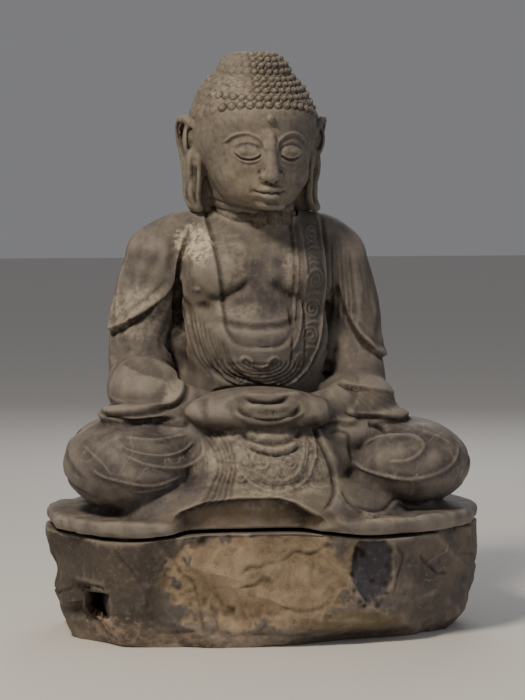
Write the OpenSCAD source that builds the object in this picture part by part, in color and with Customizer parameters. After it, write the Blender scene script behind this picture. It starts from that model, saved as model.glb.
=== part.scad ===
// Seated stone figure on a rough bed stone, in millimetres.
// The figure faces -Y, +Z is up, and the origin is the middle of the bed stone's underside.
// It is built as a mason sets it: bed stone, shims, mortar, leaded dowels, figure, neck joint, head, urna.

/* [Bed stone] */
// Width of the rough stone across its top
stone_w = 740; // [600:1:744]
// Depth of the rough stone across its top
stone_d = 500; // [400:1:510]
// Height of the rough stone
stone_h = 178; // [140:1:214]
// How far the foot of the stone draws in all round
foot_inset = 46; // [20:1:70]
// Height over which the foot draws in
foot_h = 62; // [30:1:90]
// Depth of the hewn hollows in the stone's sides
hewn_depth = 6; // [2:0.5:12]
// Width of the bar slot cut in the right-hand front corner
slot_w = 62; // [40:1:80]
// Height of the bar slot
slot_h = 44; // [24:1:60]
// Depth of the bar slot behind the stone's rounded corner
slot_depth = 54; // [30:1:80]
// Height of the bar slot's floor above the underside
slot_z = 44; // [16:1:60]

/* [Bed joint] */
// Thickness of the joint between the stone and the figure
joint_t = 7; // [4:0.5:12]
// How far the mortar stays back from the rim of the seat slab
mortar_inset = 46; // [30:1:80]
// Length of one shim, along the rim
shim_l = 46; // [30:1:60]
// Width of one shim, into the joint
shim_w = 26; // [15:1:32]

/* [Seat slab] */
// Width of the seat slab, which is the widest part
slab_w = 752; // [620:1:900]
// Depth of the seat slab
slab_d = 520; // [430:1:620]
// Thickness of the seat slab at its rim
slab_t = 27; // [20:1:34]
// How square the slab's outline is, 2 being an ellipse
slab_square = 2.5; // [2:0.1:4]
// Width of the hollow cut in the middle of the slab's front
hollow_w = 262; // [160:1:320]
// Depth of that hollow
hollow_d = 44; // [15:1:60]

/* [Seated figure] */
// Height from the underside of the seat slab to the neck joint
body_h = 515; // [430:1:618]
// Width across the knees
knee_span = 706; // [600:1:740]
// Width of one knee
knee_w = 236; // [190:1:280]
// Height of the knees above the slab
knee_h = 150; // [130:1:188]
// Width across the elbows
elbow_span = 514; // [430:1:600]
// Radius of the sleeve at the elbow
elbow_r = 50; // [42:1:60]
// Width across the shoulders
shoulder_w = 452; // [380:1:540]
// Radius of the sleeve at the shoulder
shoulder_r = 54; // [45:1:64]
// Depth of the chest
chest_d = 240; // [200:1:288]
// Width across the joined hands
hands_w = 256; // [215:1:305]
// Height of the joined hands
hands_h = 74; // [60:1:88]
// How far the hands lie in front of the torso's middle
hands_reach = 172; // [145:1:205]
// How far behind the slab's middle the torso stands
torso_back = 62; // [30:1:90]

/* [Neck joint] */
// Width of the neck
neck_w = 144; // [120:1:172]
// Depth of the neck
neck_d = 140; // [118:1:166]
// Thickness of the mortar in the neck joint
neck_joint_t = 6; // [3:0.5:10]
// How far the neck mortar stays inside the neck's skin
neck_mortar_inset = 2; // [0.5:0.5:6]

/* [Head] */
// Height from the neck joint to the top of the crown
head_h = 290; // [242:1:348]
// Width across the hair
hair_w = 228; // [185:1:266]
// Depth across the hair
hair_d = 244; // [204:1:292]
// Width of the face
face_w = 178; // [150:1:210]
// Width of the raised crown on top
crown_w = 138; // [116:1:168]
// Height of the raised crown above the hair
crown_h = 44; // [36:1:52]
// Width across the ears
ear_span = 260; // [236:1:290]
// Height of one ear with its lobe
ear_h = 166; // [138:1:180]
// Thickness of one ear
ear_t = 34; // [28:1:40]
// How far the head leans in front of the torso's middle
head_lean = 30; // [0:1:40]
// How far the head sits to one side of the neck's middle
head_side = -10; // [-14:1:14]
// Turn of the head towards the figure's left, in degrees
head_turn = 3; // [-15:1:15]

/* [Dowels] */
// Diameter of the two dowels between the stone and the figure
bed_dowel_d = 26; // [18:1:36]
// Length of those dowels
bed_dowel_l = 150; // [110:1:190]
// Distance between those dowels
bed_dowel_spacing = 320; // [240:1:400]
// Diameter of the neck dowel
neck_dowel_d = 24; // [16:1:32]
// Length of the neck dowel
neck_dowel_l = 150; // [110:1:190]
// Thickness of the lead poured round each dowel
lead_t = 7; // [4:0.5:10]
// Room left at the end of each dowel hole
dowel_end_gap = 4; // [2:0.5:8]

/* [Urna] */
// Diameter of the bead set in the forehead
urna_d = 15; // [12:0.5:20]
// Diameter of the bead's peg
urna_peg_d = 6; // [4:0.5:8]
// Length of the bead's peg
urna_peg_l = 16; // [10:0.5:22]
// Height of the bead above the neck joint
urna_z = 170; // [150:1:205]
// Upward tilt of the bead's peg
urna_tilt = 12; // [0:1:25]

/* [Hidden] */
// Gap between pieces that are set together but not stuck
set_gap = 0.1;
// Rays round each outline, and the height of one course of facets
rays = 72;
course_h = 11;
// How sharply neighbouring masses meet: higher is a tighter crease
crease = 11;
// Where the shims stand round the joint, in degrees, clear of the hollow in the slab's front
shim_turns = [20, 90, 160, 212, 328];
// The bed joint's outline follows the slab, until the block is smaller than the slab by more than this
block_play = 24;

bearing_w = min(slab_w, stone_w + block_play);
bearing_d = min(slab_d, stone_d + block_play);
slab_z = stone_h + joint_t;
slab_top = slab_z + slab_t;
neck_z = slab_z + body_h;
head_z = neck_z + neck_joint_t;
crown_z = head_z + head_h;
hair_top = crown_z - crown_h;
shoulder_z = neck_z - 62;
chest_z = neck_z - 104;
belly_z = (slab_top + chest_z) / 2;
elbow_z = slab_top + knee_h + 27;
hands_z = slab_top + knee_h + hands_h / 2 - 12;
head_y = torso_back - head_lean;
hands_y = torso_back - hands_reach;
shoulder_x = shoulder_w / 2 - shoulder_r;
elbow_x = elbow_span / 2 - elbow_r;
knee_x = (knee_span - knee_w) / 2;
bed_joint_z = stone_h + joint_t / 2;
neck_joint_z = neck_z + neck_joint_t / 2;
bed_bore_d = bed_dowel_d + 2 * lead_t;
neck_bore_d = neck_dowel_d + 2 * lead_t;

// ---- outlines ----

// Reach of a squarish oval of half-sizes a and b at an angle
function oval(a, b, square, angle) =
    pow(pow(abs(cos(angle)) / a, square) + pow(abs(sin(angle)) / b, square), -1 / square);

// Points at the given reaches, one for each ray, round an upright axis at (0, axis_y)
function ring(reaches, axis_y = 0) =
    [for (i = [0:rays - 1]) let (t = 360 * i / rays) [reaches[i] * cos(t), axis_y + reaches[i] * sin(t)]];

function oval_ring(a, b, square) = ring([for (i = [0:rays - 1]) oval(a, b, square, 360 * i / rays)]);

// A mass is an ellipsoid: its centre x, y, z and its half-sizes in x, y, z.
// This is how far a level ray from the upright axis at (0, axis_y) goes before it leaves the mass.
function exit_distance(mass, axis_y, angle, z) =
    let (level = 1 - pow((z - mass[2]) / mass[5], 2))
    level <= 0 ? 0 :
    let (rx = mass[3] * sqrt(level),
         ry = mass[4] * sqrt(level),
         dy = axis_y - mass[1],
         a = pow(cos(angle) / rx, 2) + pow(sin(angle) / ry, 2),
         b = -mass[0] * cos(angle) / (rx * rx) + dy * sin(angle) / (ry * ry),
         c = pow(mass[0] / rx, 2) + pow(dy / ry, 2) - 1,
         hit = b * b - a * c)
    hit <= 0 ? 0 : max(0, (sqrt(hit) - b) / a);

function sum(values) = [for (v = values) 1] * values;

// The furthest value, rounded where two are nearly equal, so that masses meet in a soft crease
function soft_max(values) =
    let (top = max(values))
    top <= 0 ? 0 : top * pow(sum([for (v = values) pow(v / top, crease)]), 1 / crease);

// Each reach evened out with its two neighbours on either side, so no ray makes a step
function evened(reaches) =
    [for (i = [0:rays - 1])
        sum([for (k = [-2:2]) (3 - abs(k)) * reaches[(i + k + rays) % rays]]) / 9];

function mass_ring(masses, axis_y, z) =
    ring(evened([for (i = [0:rays - 1])
        soft_max([for (mass = masses) exit_distance(mass, axis_y, 360 * i / rays, z)])]), axis_y);

// A list of masses and their mirror images
function both_sides(masses) = concat(masses, [for (m = masses) [-m[0], m[1], m[2], m[3], m[4], m[5]]]);

// Heights from one to another, evenly spaced and no further apart than step
function levels(from, to, step) =
    let (count = ceil((to - from) / step))
    [for (i = [0:count]) from + (to - from) * i / count];

// Closed solid through level outlines that all go round the upright axis at (0, axis_y)
module stack(outlines, heights, axis_y) {
    last = len(heights) - 1;
    points = concat(
        [for (k = [0:last]) for (p = outlines[k]) [p[0], p[1], heights[k]]],
        [[0, axis_y, heights[0]], [0, axis_y, heights[last]]]);
    floor_centre = (last + 1) * rays;
    walls = [for (k = [0:last - 1]) for (i = [0:rays - 1])
        let (j = (i + 1) % rays, low = k * rays, high = low + rays)
        each [[low + i, high + j, low + j], [low + i, high + i, high + j]]];
    floor_fan = [for (i = [0:rays - 1]) [floor_centre, i, (i + 1) % rays]];
    roof_fan = [for (i = [0:rays - 1]) [floor_centre + 1, last * rays + (i + 1) % rays, last * rays + i]];
    polyhedron(points, concat(walls, floor_fan, roof_fan), convexity = 6);
}

// ---- dowels ----

// Each joint's dowel lies half in the piece below and half in the piece above
module dowel_hole(d, l, place) {
    depth = l / 2 + dowel_end_gap;
    translate([place[0], place[1], place[2] - depth]) cylinder(d = d, h = 2 * depth, $fn = 48);
}

module dowel(d, l, place) {
    color("#5a3a28") translate([place[0], place[1], place[2] - l / 2]) cylinder(d = d, h = l, $fn = 48);
}

module lead(d, l, place) {
    color("#7c7f84") translate([place[0], place[1], place[2] - l / 2]) difference() {
        cylinder(d = d + 2 * lead_t - 2 * set_gap, h = l, $fn = 48);
        translate([0, 0, -1]) cylinder(d = d + 2 * set_gap, h = l + 2, $fn = 48);
    }
}

function bed_dowel_place(side, z) = [side * bed_dowel_spacing / 2, torso_back, z];
function neck_dowel_place(z) = [0, torso_back, z];

// ---- bed stone ----

// Bumps and hollows of hewn rock, from 0 to 1
function hewn(angle, z) =
    (3 + sin(3 * angle + 1.7 * z) + sin(5 * angle - 2.3 * z + 70) + sin(11 * angle + 0.9 * z + 130)) / 6;

// The foot draws in all round, and further where its front left corner is broken away
function foot_draw(angle, z) =
    let (low = max(0, 1 - z / foot_h),
         broken = max(0, cos(angle - 302)))
    (foot_inset + 40 * pow(broken, 4)) * low * low;

function stone_reach(angle, z) =
    oval(stone_w / 2, stone_d / 2, slab_square, angle) - foot_draw(angle, z) - hewn_depth * hewn(angle, z);

module bed_stone_body() {
    over = 6;
    heights = levels(-over, stone_h + over, 11);
    rings = [for (z = heights) ring([for (i = [0:rays - 1]) stone_reach(360 * i / rays, max(z, 0))])];
    intersection() {
        stack(rings, heights, 0);
        translate([-stone_w, -stone_d, 0]) cube([2 * stone_w, 2 * stone_d, stone_h]);
    }
}

// Slot for a lifting bar, low in the corner by the figure's right knee
module bar_slot() {
    turn = 203;
    inward = 13;
    corner = oval(stone_w / 2, stone_d / 2, slab_square, turn) * [cos(turn), sin(turn)];
    translate([corner[0] - slot_w / 2 + inward, corner[1] - stone_d, slot_z])
        cube([slot_w, stone_d + slot_depth, slot_h]);
}

module bed_stone() {
    color("#8a7358") difference() {
        bed_stone_body();
        for (side = [-1, 1]) dowel_hole(bed_bore_d, bed_dowel_l, bed_dowel_place(side, stone_h));
        bar_slot();
    }
}

// ---- bed joint ----

module bed_mortar() {
    color("#9a9184") translate([0, 0, stone_h]) linear_extrude(joint_t) difference() {
        polygon(oval_ring(bearing_w / 2 - mortar_inset, bearing_d / 2 - mortar_inset - hollow_d / 2, slab_square));
        for (side = [-1, 1]) translate([side * bed_dowel_spacing / 2, torso_back]) circle(d = bed_bore_d, $fn = 48);
    }
}

module bed_shims() {
    for (turn = shim_turns) {
        rim = oval(bearing_w / 2 - mortar_inset, bearing_d / 2 - mortar_inset, slab_square, turn);
        color("#4a4744") rotate(turn) translate([rim + 1, -shim_l / 2, stone_h]) cube([shim_w, shim_l, joint_t]);
    }
}

// ---- seated figure ----

function figure_masses() = concat(
    // neck, base of the neck, yoke of the shoulders, chest, waist, belly
    [[0, torso_back, neck_z, neck_w / 2, neck_d / 2, 4 * body_h],
     [0, torso_back + 6, neck_z - 34, 128, 82, 44],
     [0, torso_back + 10, shoulder_z - 6, shoulder_w / 2 - 38, 92, 62],
     [0, torso_back, chest_z - 6, 158, chest_d / 2, 112],
     [0, torso_back - 8, (chest_z + belly_z) / 2, 150, chest_d / 2 - 8, 120],
     [0, torso_back - 18, belly_z - 40, 164, chest_d / 2 + 4, 150],
     // hips, lap, joined hands
     [0, torso_back + 24, slab_top + 60, 256, 156, 140],
     [0, -56, slab_top + 24, 262, 168, 100],
     [0, hands_y, hands_z, hands_w / 2, 60, hands_h / 2]],
    // shoulder, upper arm, elbow, forearm, knee, thigh
    both_sides([
     [-shoulder_x, torso_back + 6, shoulder_z - 14, shoulder_r, 68, 62],
     [-(shoulder_x + elbow_x) / 2, torso_back, (shoulder_z + elbow_z) / 2 + 24, shoulder_r + 2, 74, 140],
     [-elbow_x, torso_back - 40, elbow_z + 14, elbow_r, 92, 78],
     [-0.5 * elbow_x - 14, hands_y + 42, elbow_z - 8, 104, 62, elbow_r - 8],
     [-knee_x, -66, slab_top + knee_h / 2 - 4, knee_w / 2, 140, knee_h / 2 + 4],
     [-knee_x + 22, 34, slab_top + knee_h / 2 - 14, knee_w / 2 + 14, 172, knee_h / 2 + 16]]));

// Rim of the seat slab at a height, rounded at its edges and hollowed in the middle of the front
function slab_ring(z) =
    let (soft = 7 * pow(abs(2 * (z - slab_z) / slab_t - 1), 4))
    ring([for (i = [0:rays - 1])
        let (angle = 360 * i / rays,
             rim = oval(slab_w / 2 - soft, slab_d / 2 - soft, slab_square, angle),
             across = 2 * rim * cos(angle) / hollow_w,
             hollow = angle > 180 && abs(across) < 1 ? hollow_d * pow(1 - across * across, 0.6) : 0)
        rim - hollow]);

module figure_body() {
    axis_y = torso_back / 2;
    slab_heights = [slab_z, slab_z + 4, slab_z + slab_t / 2, slab_top - 5, slab_top];
    body_heights = levels(slab_top + 0.8, neck_z, course_h);
    outlines = concat([for (z = slab_heights) slab_ring(z)],
        [for (z = body_heights) mass_ring(figure_masses(), axis_y, z)]);
    stack(outlines, concat(slab_heights, body_heights), axis_y);
}

module seated_figure() {
    color("#7b726b") difference() {
        figure_body();
        for (side = [-1, 1]) dowel_hole(bed_bore_d, bed_dowel_l, bed_dowel_place(side, slab_z));
        dowel_hole(neck_bore_d, neck_dowel_l, neck_dowel_place(neck_z));
    }
}

// ---- neck joint ----

module neck_mortar() {
    color("#8d8478") translate([0, torso_back, neck_z]) linear_extrude(neck_joint_t) difference() {
        polygon(oval_ring(neck_w / 2 - neck_mortar_inset, neck_d / 2 - neck_mortar_inset, 2));
        circle(d = neck_bore_d, $fn = 48);
    }
}

// ---- head ----

function head_masses() =
    // neck, jaw, face, hair, crown, nose
    [[0, torso_back, head_z, neck_w / 2, neck_d / 2, 200],
     [head_side, head_y - 28, head_z + 62, face_w / 3, 66, 44],
     [head_side, head_y - 18, head_z + 112, face_w / 2, 98, 88],
     [head_side, head_y + 14, hair_top - 92, hair_w / 2, hair_d / 2, 92],
     [head_side, head_y + 22, crown_z - 56, crown_w / 2, 74, 56],
     [head_side, head_y - 106, head_z + 100, 13, 22, 30]];

module head_body() {
    heights = levels(head_z, crown_z, course_h);
    blunt = 3;
    outlines = [for (z = heights) mass_ring(head_masses(), head_y, min(z, crown_z - blunt))];
    stack(outlines, heights, head_y);
}

// One ear: a wide upper part and a long lobe, each hulled between two flat beans
module ear(side) {
    top_r = 31;
    lobe_r = 18;
    lobe_z = head_z + 9 + lobe_r;
    top_z = head_z + 9 + ear_h - top_r;
    out = ear_span / 2 - ear_t / 2;
    module bean(x, y, z, r) {
        translate([side * x, y, z]) scale([ear_t / 2, r, r]) sphere(1, $fn = 20);
    }
    module middle() { bean(out - 9, head_y + 10, (top_z + lobe_z) / 2, lobe_r + 3); }
    hull() {
        bean(out, head_y + 18, top_z, top_r);
        middle();
    }
    hull() {
        middle();
        bean(out - 16, head_y + 6, lobe_z, lobe_r);
    }
}

// Turns the head and what is set in it on the neck joint
module on_neck() {
    translate([0, torso_back, 0]) rotate(head_turn) translate([0, -torso_back, 0]) children();
}

module head() {
    color("#7b726b") on_neck() difference() {
        union() {
            head_body();
            for (side = [-1, 1]) translate([head_side, 0, 0]) ear(side);
        }
        dowel_hole(neck_bore_d, neck_dowel_l, neck_dowel_place(head_z));
        at_urna() {
            sphere(d = urna_d + 2 * set_gap, $fn = 48);
            translate([0, 0, -urna_peg_l - dowel_end_gap])
                cylinder(d = urna_peg_d + 2 * set_gap, h = urna_peg_l + dowel_end_gap, $fn = 48);
        }
    }
}

// ---- urna ----

// Puts its children on the forehead with their own +Z pointing out of it
module at_urna() {
    z = head_z + urna_z;
    y = head_y - soft_max([for (mass = head_masses()) exit_distance(mass, head_y, 270, z)]);
    translate([head_side, y, z]) rotate([90 - urna_tilt, 0, 0]) children();
}

module urna() {
    color("#8a8178") on_neck() at_urna() {
        sphere(d = urna_d, $fn = 48);
        translate([0, 0, -urna_peg_l]) cylinder(d = urna_peg_d, h = urna_peg_l, $fn = 48);
    }
}

bed_stone();
bed_mortar();
bed_shims();
dowel(bed_dowel_d, bed_dowel_l, bed_dowel_place(1, bed_joint_z));  // left_bed_dowel
dowel(bed_dowel_d, bed_dowel_l, bed_dowel_place(-1, bed_joint_z));  // right_bed_dowel
lead(bed_dowel_d, bed_dowel_l, bed_dowel_place(1, bed_joint_z));  // left_bed_lead
lead(bed_dowel_d, bed_dowel_l, bed_dowel_place(-1, bed_joint_z));  // right_bed_lead
seated_figure();
neck_mortar();
dowel(neck_dowel_d, neck_dowel_l, neck_dowel_place(neck_joint_z));  // neck_dowel
lead(neck_dowel_d, neck_dowel_l, neck_dowel_place(neck_joint_z));  // neck_lead
head();
urna();
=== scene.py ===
import math
import bpy
import numpy as np
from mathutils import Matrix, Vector
from mathutils.kdtree import KDTree


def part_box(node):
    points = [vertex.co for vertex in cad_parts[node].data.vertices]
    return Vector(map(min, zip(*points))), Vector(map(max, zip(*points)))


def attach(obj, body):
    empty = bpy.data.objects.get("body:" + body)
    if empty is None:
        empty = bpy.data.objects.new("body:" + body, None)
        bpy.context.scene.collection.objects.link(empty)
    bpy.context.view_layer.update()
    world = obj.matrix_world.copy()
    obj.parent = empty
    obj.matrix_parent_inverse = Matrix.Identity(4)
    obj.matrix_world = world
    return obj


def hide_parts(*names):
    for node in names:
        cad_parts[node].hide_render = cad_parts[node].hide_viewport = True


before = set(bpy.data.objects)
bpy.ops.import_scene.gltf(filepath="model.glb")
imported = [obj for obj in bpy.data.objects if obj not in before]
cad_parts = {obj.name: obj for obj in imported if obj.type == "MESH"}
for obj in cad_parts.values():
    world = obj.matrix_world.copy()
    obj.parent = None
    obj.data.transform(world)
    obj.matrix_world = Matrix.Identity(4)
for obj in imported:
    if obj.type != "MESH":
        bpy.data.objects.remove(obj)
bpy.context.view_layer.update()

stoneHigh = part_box("bed_stone")[1]
seatLow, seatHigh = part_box("seated_figure")
headLow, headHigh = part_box("head")
beadLow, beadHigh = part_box("urna")
neckRingLow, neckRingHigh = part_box("neck_mortar")

# Shapes are written in millimetres from the middle of the bed stone's underside. The figure faces -Y.
mm = 0.001
seatZ = seatLow.z / mm
slabTop = seatZ + 27
neckZ = seatHigh.z / mm
headZ = headLow.z / mm
crownZ = headHigh.z / mm
stoneTop = stoneHigh.z / mm
neckY = (neckRingLow.y + neckRingHigh.y) / 2 / mm


def selectOnly(obj):
    bpy.ops.object.select_all(action="DESELECT")
    obj.select_set(True)
    bpy.context.view_layer.objects.active = obj


def named(obj, name):
    obj.name = name
    obj.data.name = name
    return obj


def settle(obj):
    selectOnly(obj)
    bpy.ops.object.transform_apply(location=True, rotation=True, scale=True)
    return obj


def ball(x, y, z, rx, ry, rz, tilt=0, turn=0):
    bpy.ops.mesh.primitive_uv_sphere_add(
        segments=48, ring_count=28, radius=1, location=(x * mm, y * mm, z * mm),
        rotation=(0, math.radians(tilt), math.radians(turn)), scale=(rx * mm, ry * mm, rz * mm))
    return settle(bpy.context.object)


def limb(points):  # a round limb through points of x, y, z and radius
    line = bpy.data.curves.new("limb", "CURVE")
    line.dimensions = "3D"
    line.bevel_depth = mm
    line.bevel_resolution = 6
    line.use_fill_caps = True
    path = line.splines.new("BEZIER")
    path.bezier_points.add(len(points) - 1)
    for knot, (x, y, z, r) in zip(path.bezier_points, points):
        knot.co = (x * mm, y * mm, z * mm)
        knot.radius = r
        knot.handle_left_type = knot.handle_right_type = "AUTO"
    path.resolution_u = 8
    obj = bpy.data.objects.new("limb", line)
    bpy.context.collection.objects.link(obj)
    selectOnly(obj)
    bpy.ops.object.convert(target="MESH")
    ends = [ball(x, y, z, r * 0.98, r * 0.98, r * 0.98) for x, y, z, r in (points[0], points[-1])]
    return joined([bpy.context.scene.objects[obj.name]] + ends)


def joined(parts):
    bpy.ops.object.select_all(action="DESELECT")
    for part in parts:
        part.select_set(True)
    bpy.context.view_layer.objects.active = parts[0]
    bpy.ops.object.join()
    return parts[0]


def apply(obj, kind, **settings):
    selectOnly(obj)
    modifier = obj.modifiers.new(kind.lower(), kind)
    for key, value in settings.items():
        setattr(modifier, key, value)
    bpy.ops.object.modifier_apply(modifier=modifier.name)


def fused(parts, grain, soften):
    obj = joined(parts)
    apply(obj, "REMESH", mode="VOXEL", voxel_size=grain * mm)
    if soften:
        apply(obj, "SMOOTH", factor=0.5, iterations=soften)
    return obj


# clay is a mesh as arrays of points and normals in millimetres, with how much painted shade and dirt each point has
def takeClay(obj):
    count = len(obj.data.vertices)
    points = np.empty(count * 3)
    obj.data.vertices.foreach_get("co", points)
    clay = {"obj": obj, "p": points.reshape(-1, 3) / mm, "dirt": np.zeros(count)}
    refresh(clay)
    return clay


def refresh(clay):
    mesh = clay["obj"].data
    mesh.vertices.foreach_set("co", (clay["p"] * mm).astype(np.float32).ravel())
    mesh.update()
    normals = np.empty(len(clay["p"]) * 3, np.float32)
    mesh.vertex_normals.foreach_get("vector", normals)
    clay["n"] = normals.reshape(-1, 3).astype(float)


def ramp(low, high, value):
    t = np.clip((value - low) / (high - low), 0, 1)
    return t * t * (3 - 2 * t)


def mottle(points, size, seed):  # soft lattice noise from -1 to 1, one lump about size across
    q = points / size
    base = np.floor(q).astype(np.int64)
    f = q - base
    f = f * f * (3 - 2 * f)
    total = np.zeros(len(points))
    for corner in range(8):
        step = np.array([corner & 1, corner >> 1 & 1, corner >> 2 & 1])
        i = base + step
        h = i[:, 0] * 374761393 + i[:, 1] * 668265263 + i[:, 2] * 1440662683 + seed * 974634777
        h = (h ^ (h >> 13)) * 1274126177 & 0x7FFFFFFF
        h = h ^ (h >> 16)
        weight = np.prod(np.where(step, f, 1 - f), axis=1)
        total += weight * ((h & 0xFFFF) / 32767.5 - 1)
    return total


# Which two axes a tool sees from each side, and the way it faces
sides = {
    "front": ((0, 2), (0, -1, 0)),
    "back": ((0, 2), (0, 1, 0)),
    "right": ((1, 2), (-1, 0, 0)),
    "left": ((1, 2), (1, 0, 0)),
}


def curved(points, parts=7):  # a smooth line through the points
    p = np.array(points, float)
    padded = np.vstack([2 * p[0] - p[1], p, 2 * p[-1] - p[-2]])
    out = []
    for a, b, c, d in zip(padded, padded[1:], padded[2:], padded[3:]):
        for t in np.arange(parts) / parts:
            out.append(0.5 * (2 * b + t * (c - a) + t * t * (2 * a - 5 * b + 4 * c - d)
                              + t ** 3 * (3 * b - a - 3 * c + d)))
    out.append(p[-1])
    return np.array(out)


def alongLine(q, line):  # distance to the line, signed distance (left of it is positive), share of the way along
    best = np.full(len(q), 1e18)
    sign = np.ones(len(q))
    share = np.zeros(len(q))
    lengths = np.linalg.norm(np.diff(line, axis=0), axis=1)
    starts = np.concatenate([[0], np.cumsum(lengths)])
    for k in range(len(line) - 1):
        a, ab = line[k], line[k + 1] - line[k]
        u = np.clip(((q - a) @ ab) / (ab @ ab), 0, 1)
        gap = q - a - u[:, None] * ab
        d = (gap ** 2).sum(1)
        near = d < best
        best = np.where(near, d, best)
        sign = np.where(near, np.sign(ab[0] * gap[:, 1] - ab[1] * gap[:, 0]), sign)
        share = np.where(near, (starts[k] + u * lengths[k]) / starts[-1], share)
    d = np.sqrt(best)
    return d, d * sign, share


def cut(clay, points, width, depth, shape="groove", side="front", reach=60, fade=0.15, within=None,
        dirt=0.5, wear=0.3):
    # groove and ridge are soft lines; lap raises the left of the line as a cloth edge over what lies under it.
    # fade is the share of the line over which each end dies out
    axes, facing = sides[side]
    line = curved(points)
    margin = max(3.5 * width, reach * 2.5 if shape == "lap" else 0)
    q = clay["p"][:, axes]
    low, high = line.min(0) - margin, line.max(0) + margin
    pick = np.all((q > low) & (q < high), axis=1) & (clay["n"] @ np.array(facing) > 0.03)
    if within:
        depthAxis = 3 - sum(axes)
        pick &= (clay["p"][:, depthAxis] > within[0]) & (clay["p"][:, depthAxis] < within[1])
    index = np.nonzero(pick)[0]
    if not len(index):
        return
    d, s, t = alongLine(q[index], line)
    first, last = fade if isinstance(fade, tuple) else (fade, fade)
    ends = ramp(0, first, t) * ramp(0, last, 1 - t)
    ends = ends * ramp(0.03, 0.3, clay["n"][index] @ np.array(facing))
    ends = ends * (1 - wear * (0.5 + 0.5 * mottle(clay["p"][index], 34, 5)))
    core = np.exp(-(d / width) ** 2)
    # the darkening recorded here is painted shade: in the groove, beside a ridge, and under a lap's edge
    if shape == "groove":
        move = -depth * core
        sootAndShade = np.exp(-(d / (1.1 * width)) ** 2)
    elif shape == "ridge":
        move = depth * core
        sootAndShade = 0.4 * np.exp(-((d - 1.8 * width) / (0.8 * width)) ** 2)
    else:
        raised = ramp(-width, width, s) * np.exp(-np.maximum(s, 0) / reach)
        under = np.exp(-((s + 1.2 * width) / (1.3 * width)) ** 2)
        move = depth * (raised - 0.35 * under)
        sootAndShade = under
    clay["p"][index] += clay["n"][index] * (move * ends)[:, None]
    clay["dirt"][index] = np.maximum(clay["dirt"][index], dirt * sootAndShade * ends)


ridge = {"shape": "ridge"}


def lap(reach):
    return {"shape": "lap", "reach": reach}


def carve(clay, lines, **same):
    # each line is its points, width, depth, fade, painted shade and dirt, and wear, and ridge or lap where it isn't a
    # groove
    for points, width, depth, fade, dirt, wear, *kind in lines:
        cut(clay, points, width, depth, fade=fade, dirt=dirt, wear=wear, **(kind[0] if kind else {}), **same)


def swell(clay, centre, size, height, side="front", power=1.0):  # a soft oval mound or, below zero, a hollow
    axes, facing = sides[side]
    q = (clay["p"][:, axes] - np.array(centre)) / np.array(size)
    r = (q ** 2).sum(1)
    index = np.nonzero((r < 1) & (clay["n"] @ np.array(facing) > 0.03))[0]
    amount = height * (1 - r[index]) ** (1 + power)
    clay["p"][index] += np.array(facing) * amount[:, None]


def roughen(clay, size, height, seed):
    clay["p"] += clay["n"] * (height * mottle(clay["p"], size, seed))[:, None]


def neighbourMean(mesh, values, rounds):
    edges = np.empty(len(mesh.edges) * 2, np.int64)
    mesh.edges.foreach_get("vertices", edges)
    a, b = edges.reshape(-1, 2).T
    count = np.bincount(a, minlength=len(values)) + np.bincount(b, minlength=len(values))
    count = np.maximum(count, 1)[:, None]
    out = values.copy()
    for _ in range(rounds):
        total = np.zeros_like(out)
        for k in range(out.shape[1]):
            total[:, k] = (np.bincount(a, out[b, k], len(out)) + np.bincount(b, out[a, k], len(out)))
        out = 0.35 * out + 0.65 * total / count
    return out


def paintAttribute(mesh, name, values):
    attribute = mesh.attributes.get(name) or mesh.attributes.new(name, "FLOAT", "POINT")
    attribute.data.foreach_set("value", np.clip(values, 0, 1).astype(np.float32))


def treeOf(points):
    tree = KDTree(len(points))
    for i, point in enumerate(points):
        tree.insert(point, i)
    tree.balance()
    return tree


def triangleCount(mesh):
    return sum(len(polygon.vertices) - 2 for polygon in mesh.polygons)


def finishClay(clay, name, triangles, paint):
    # thins the mesh where it is plain, then records painted shade in hollows, worn edges lightened as painted
    # highlight, and stains as attributes
    refresh(clay)
    obj = named(clay["obj"], name)
    tree = treeOf(clay["p"])
    now = triangleCount(obj.data)
    if now > triangles:
        apply(obj, "DECIMATE", ratio=triangles / now)
    thin = takeClay(obj)
    dirt = clay["dirt"][[tree.find(point)[1] for point in thin["p"]]]
    mesh = obj.data
    near = neighbourMean(mesh, thin["p"], 4)
    far = neighbourMean(mesh, thin["p"], 26)
    nearHollow = ((near - thin["p"]) * thin["n"]).sum(1)
    farHollow = ((far - thin["p"]) * thin["n"]).sum(1)
    # hollows are darkened as painted shade, merged with the carved shade and dirt; rounded edges are lightened as wear
    # and painted highlight
    hollowShadeAndDirt = ramp(0.1, 0.9, nearHollow) * 0.55 + ramp(0.4, 3.5, farHollow) * 0.75
    wearAndHighlight = ramp(0.12, 0.7, -nearHollow) * 0.7 + ramp(0.6, 3.0, -farHollow) * 0.45
    smooth = neighbourMean(mesh, np.stack([np.maximum(hollowShadeAndDirt, dirt), wearAndHighlight], axis=1), 2)
    paintAttribute(mesh, "hollowShadeAndDirt", smooth[:, 0])
    paintAttribute(mesh, "wearAndHighlight", smooth[:, 1])
    for key, values in paint(thin).items():
        paintAttribute(mesh, key, values)
    selectOnly(obj)
    bpy.ops.object.shade_smooth()
    print(name, "triangles", triangleCount(mesh))
    return obj


def blot(p, centre, size, ragged, seed):  # a ragged patch, 1 inside and 0 outside
    r = np.sqrt((((p - np.array(centre)) / np.array(size)) ** 2).sum(1))
    return ramp(1.15, 0.75, r + ragged * mottle(p, 0.25 * min(size), seed) + 0.5 * ragged * mottle(p, 7, seed + 1))


def blots(p, rows):  # the strongest of several patches, each its strength, centre, size, raggedness and seed
    return np.maximum.reduce([strength * blot(p, *row) for strength, *row in rows])


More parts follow.
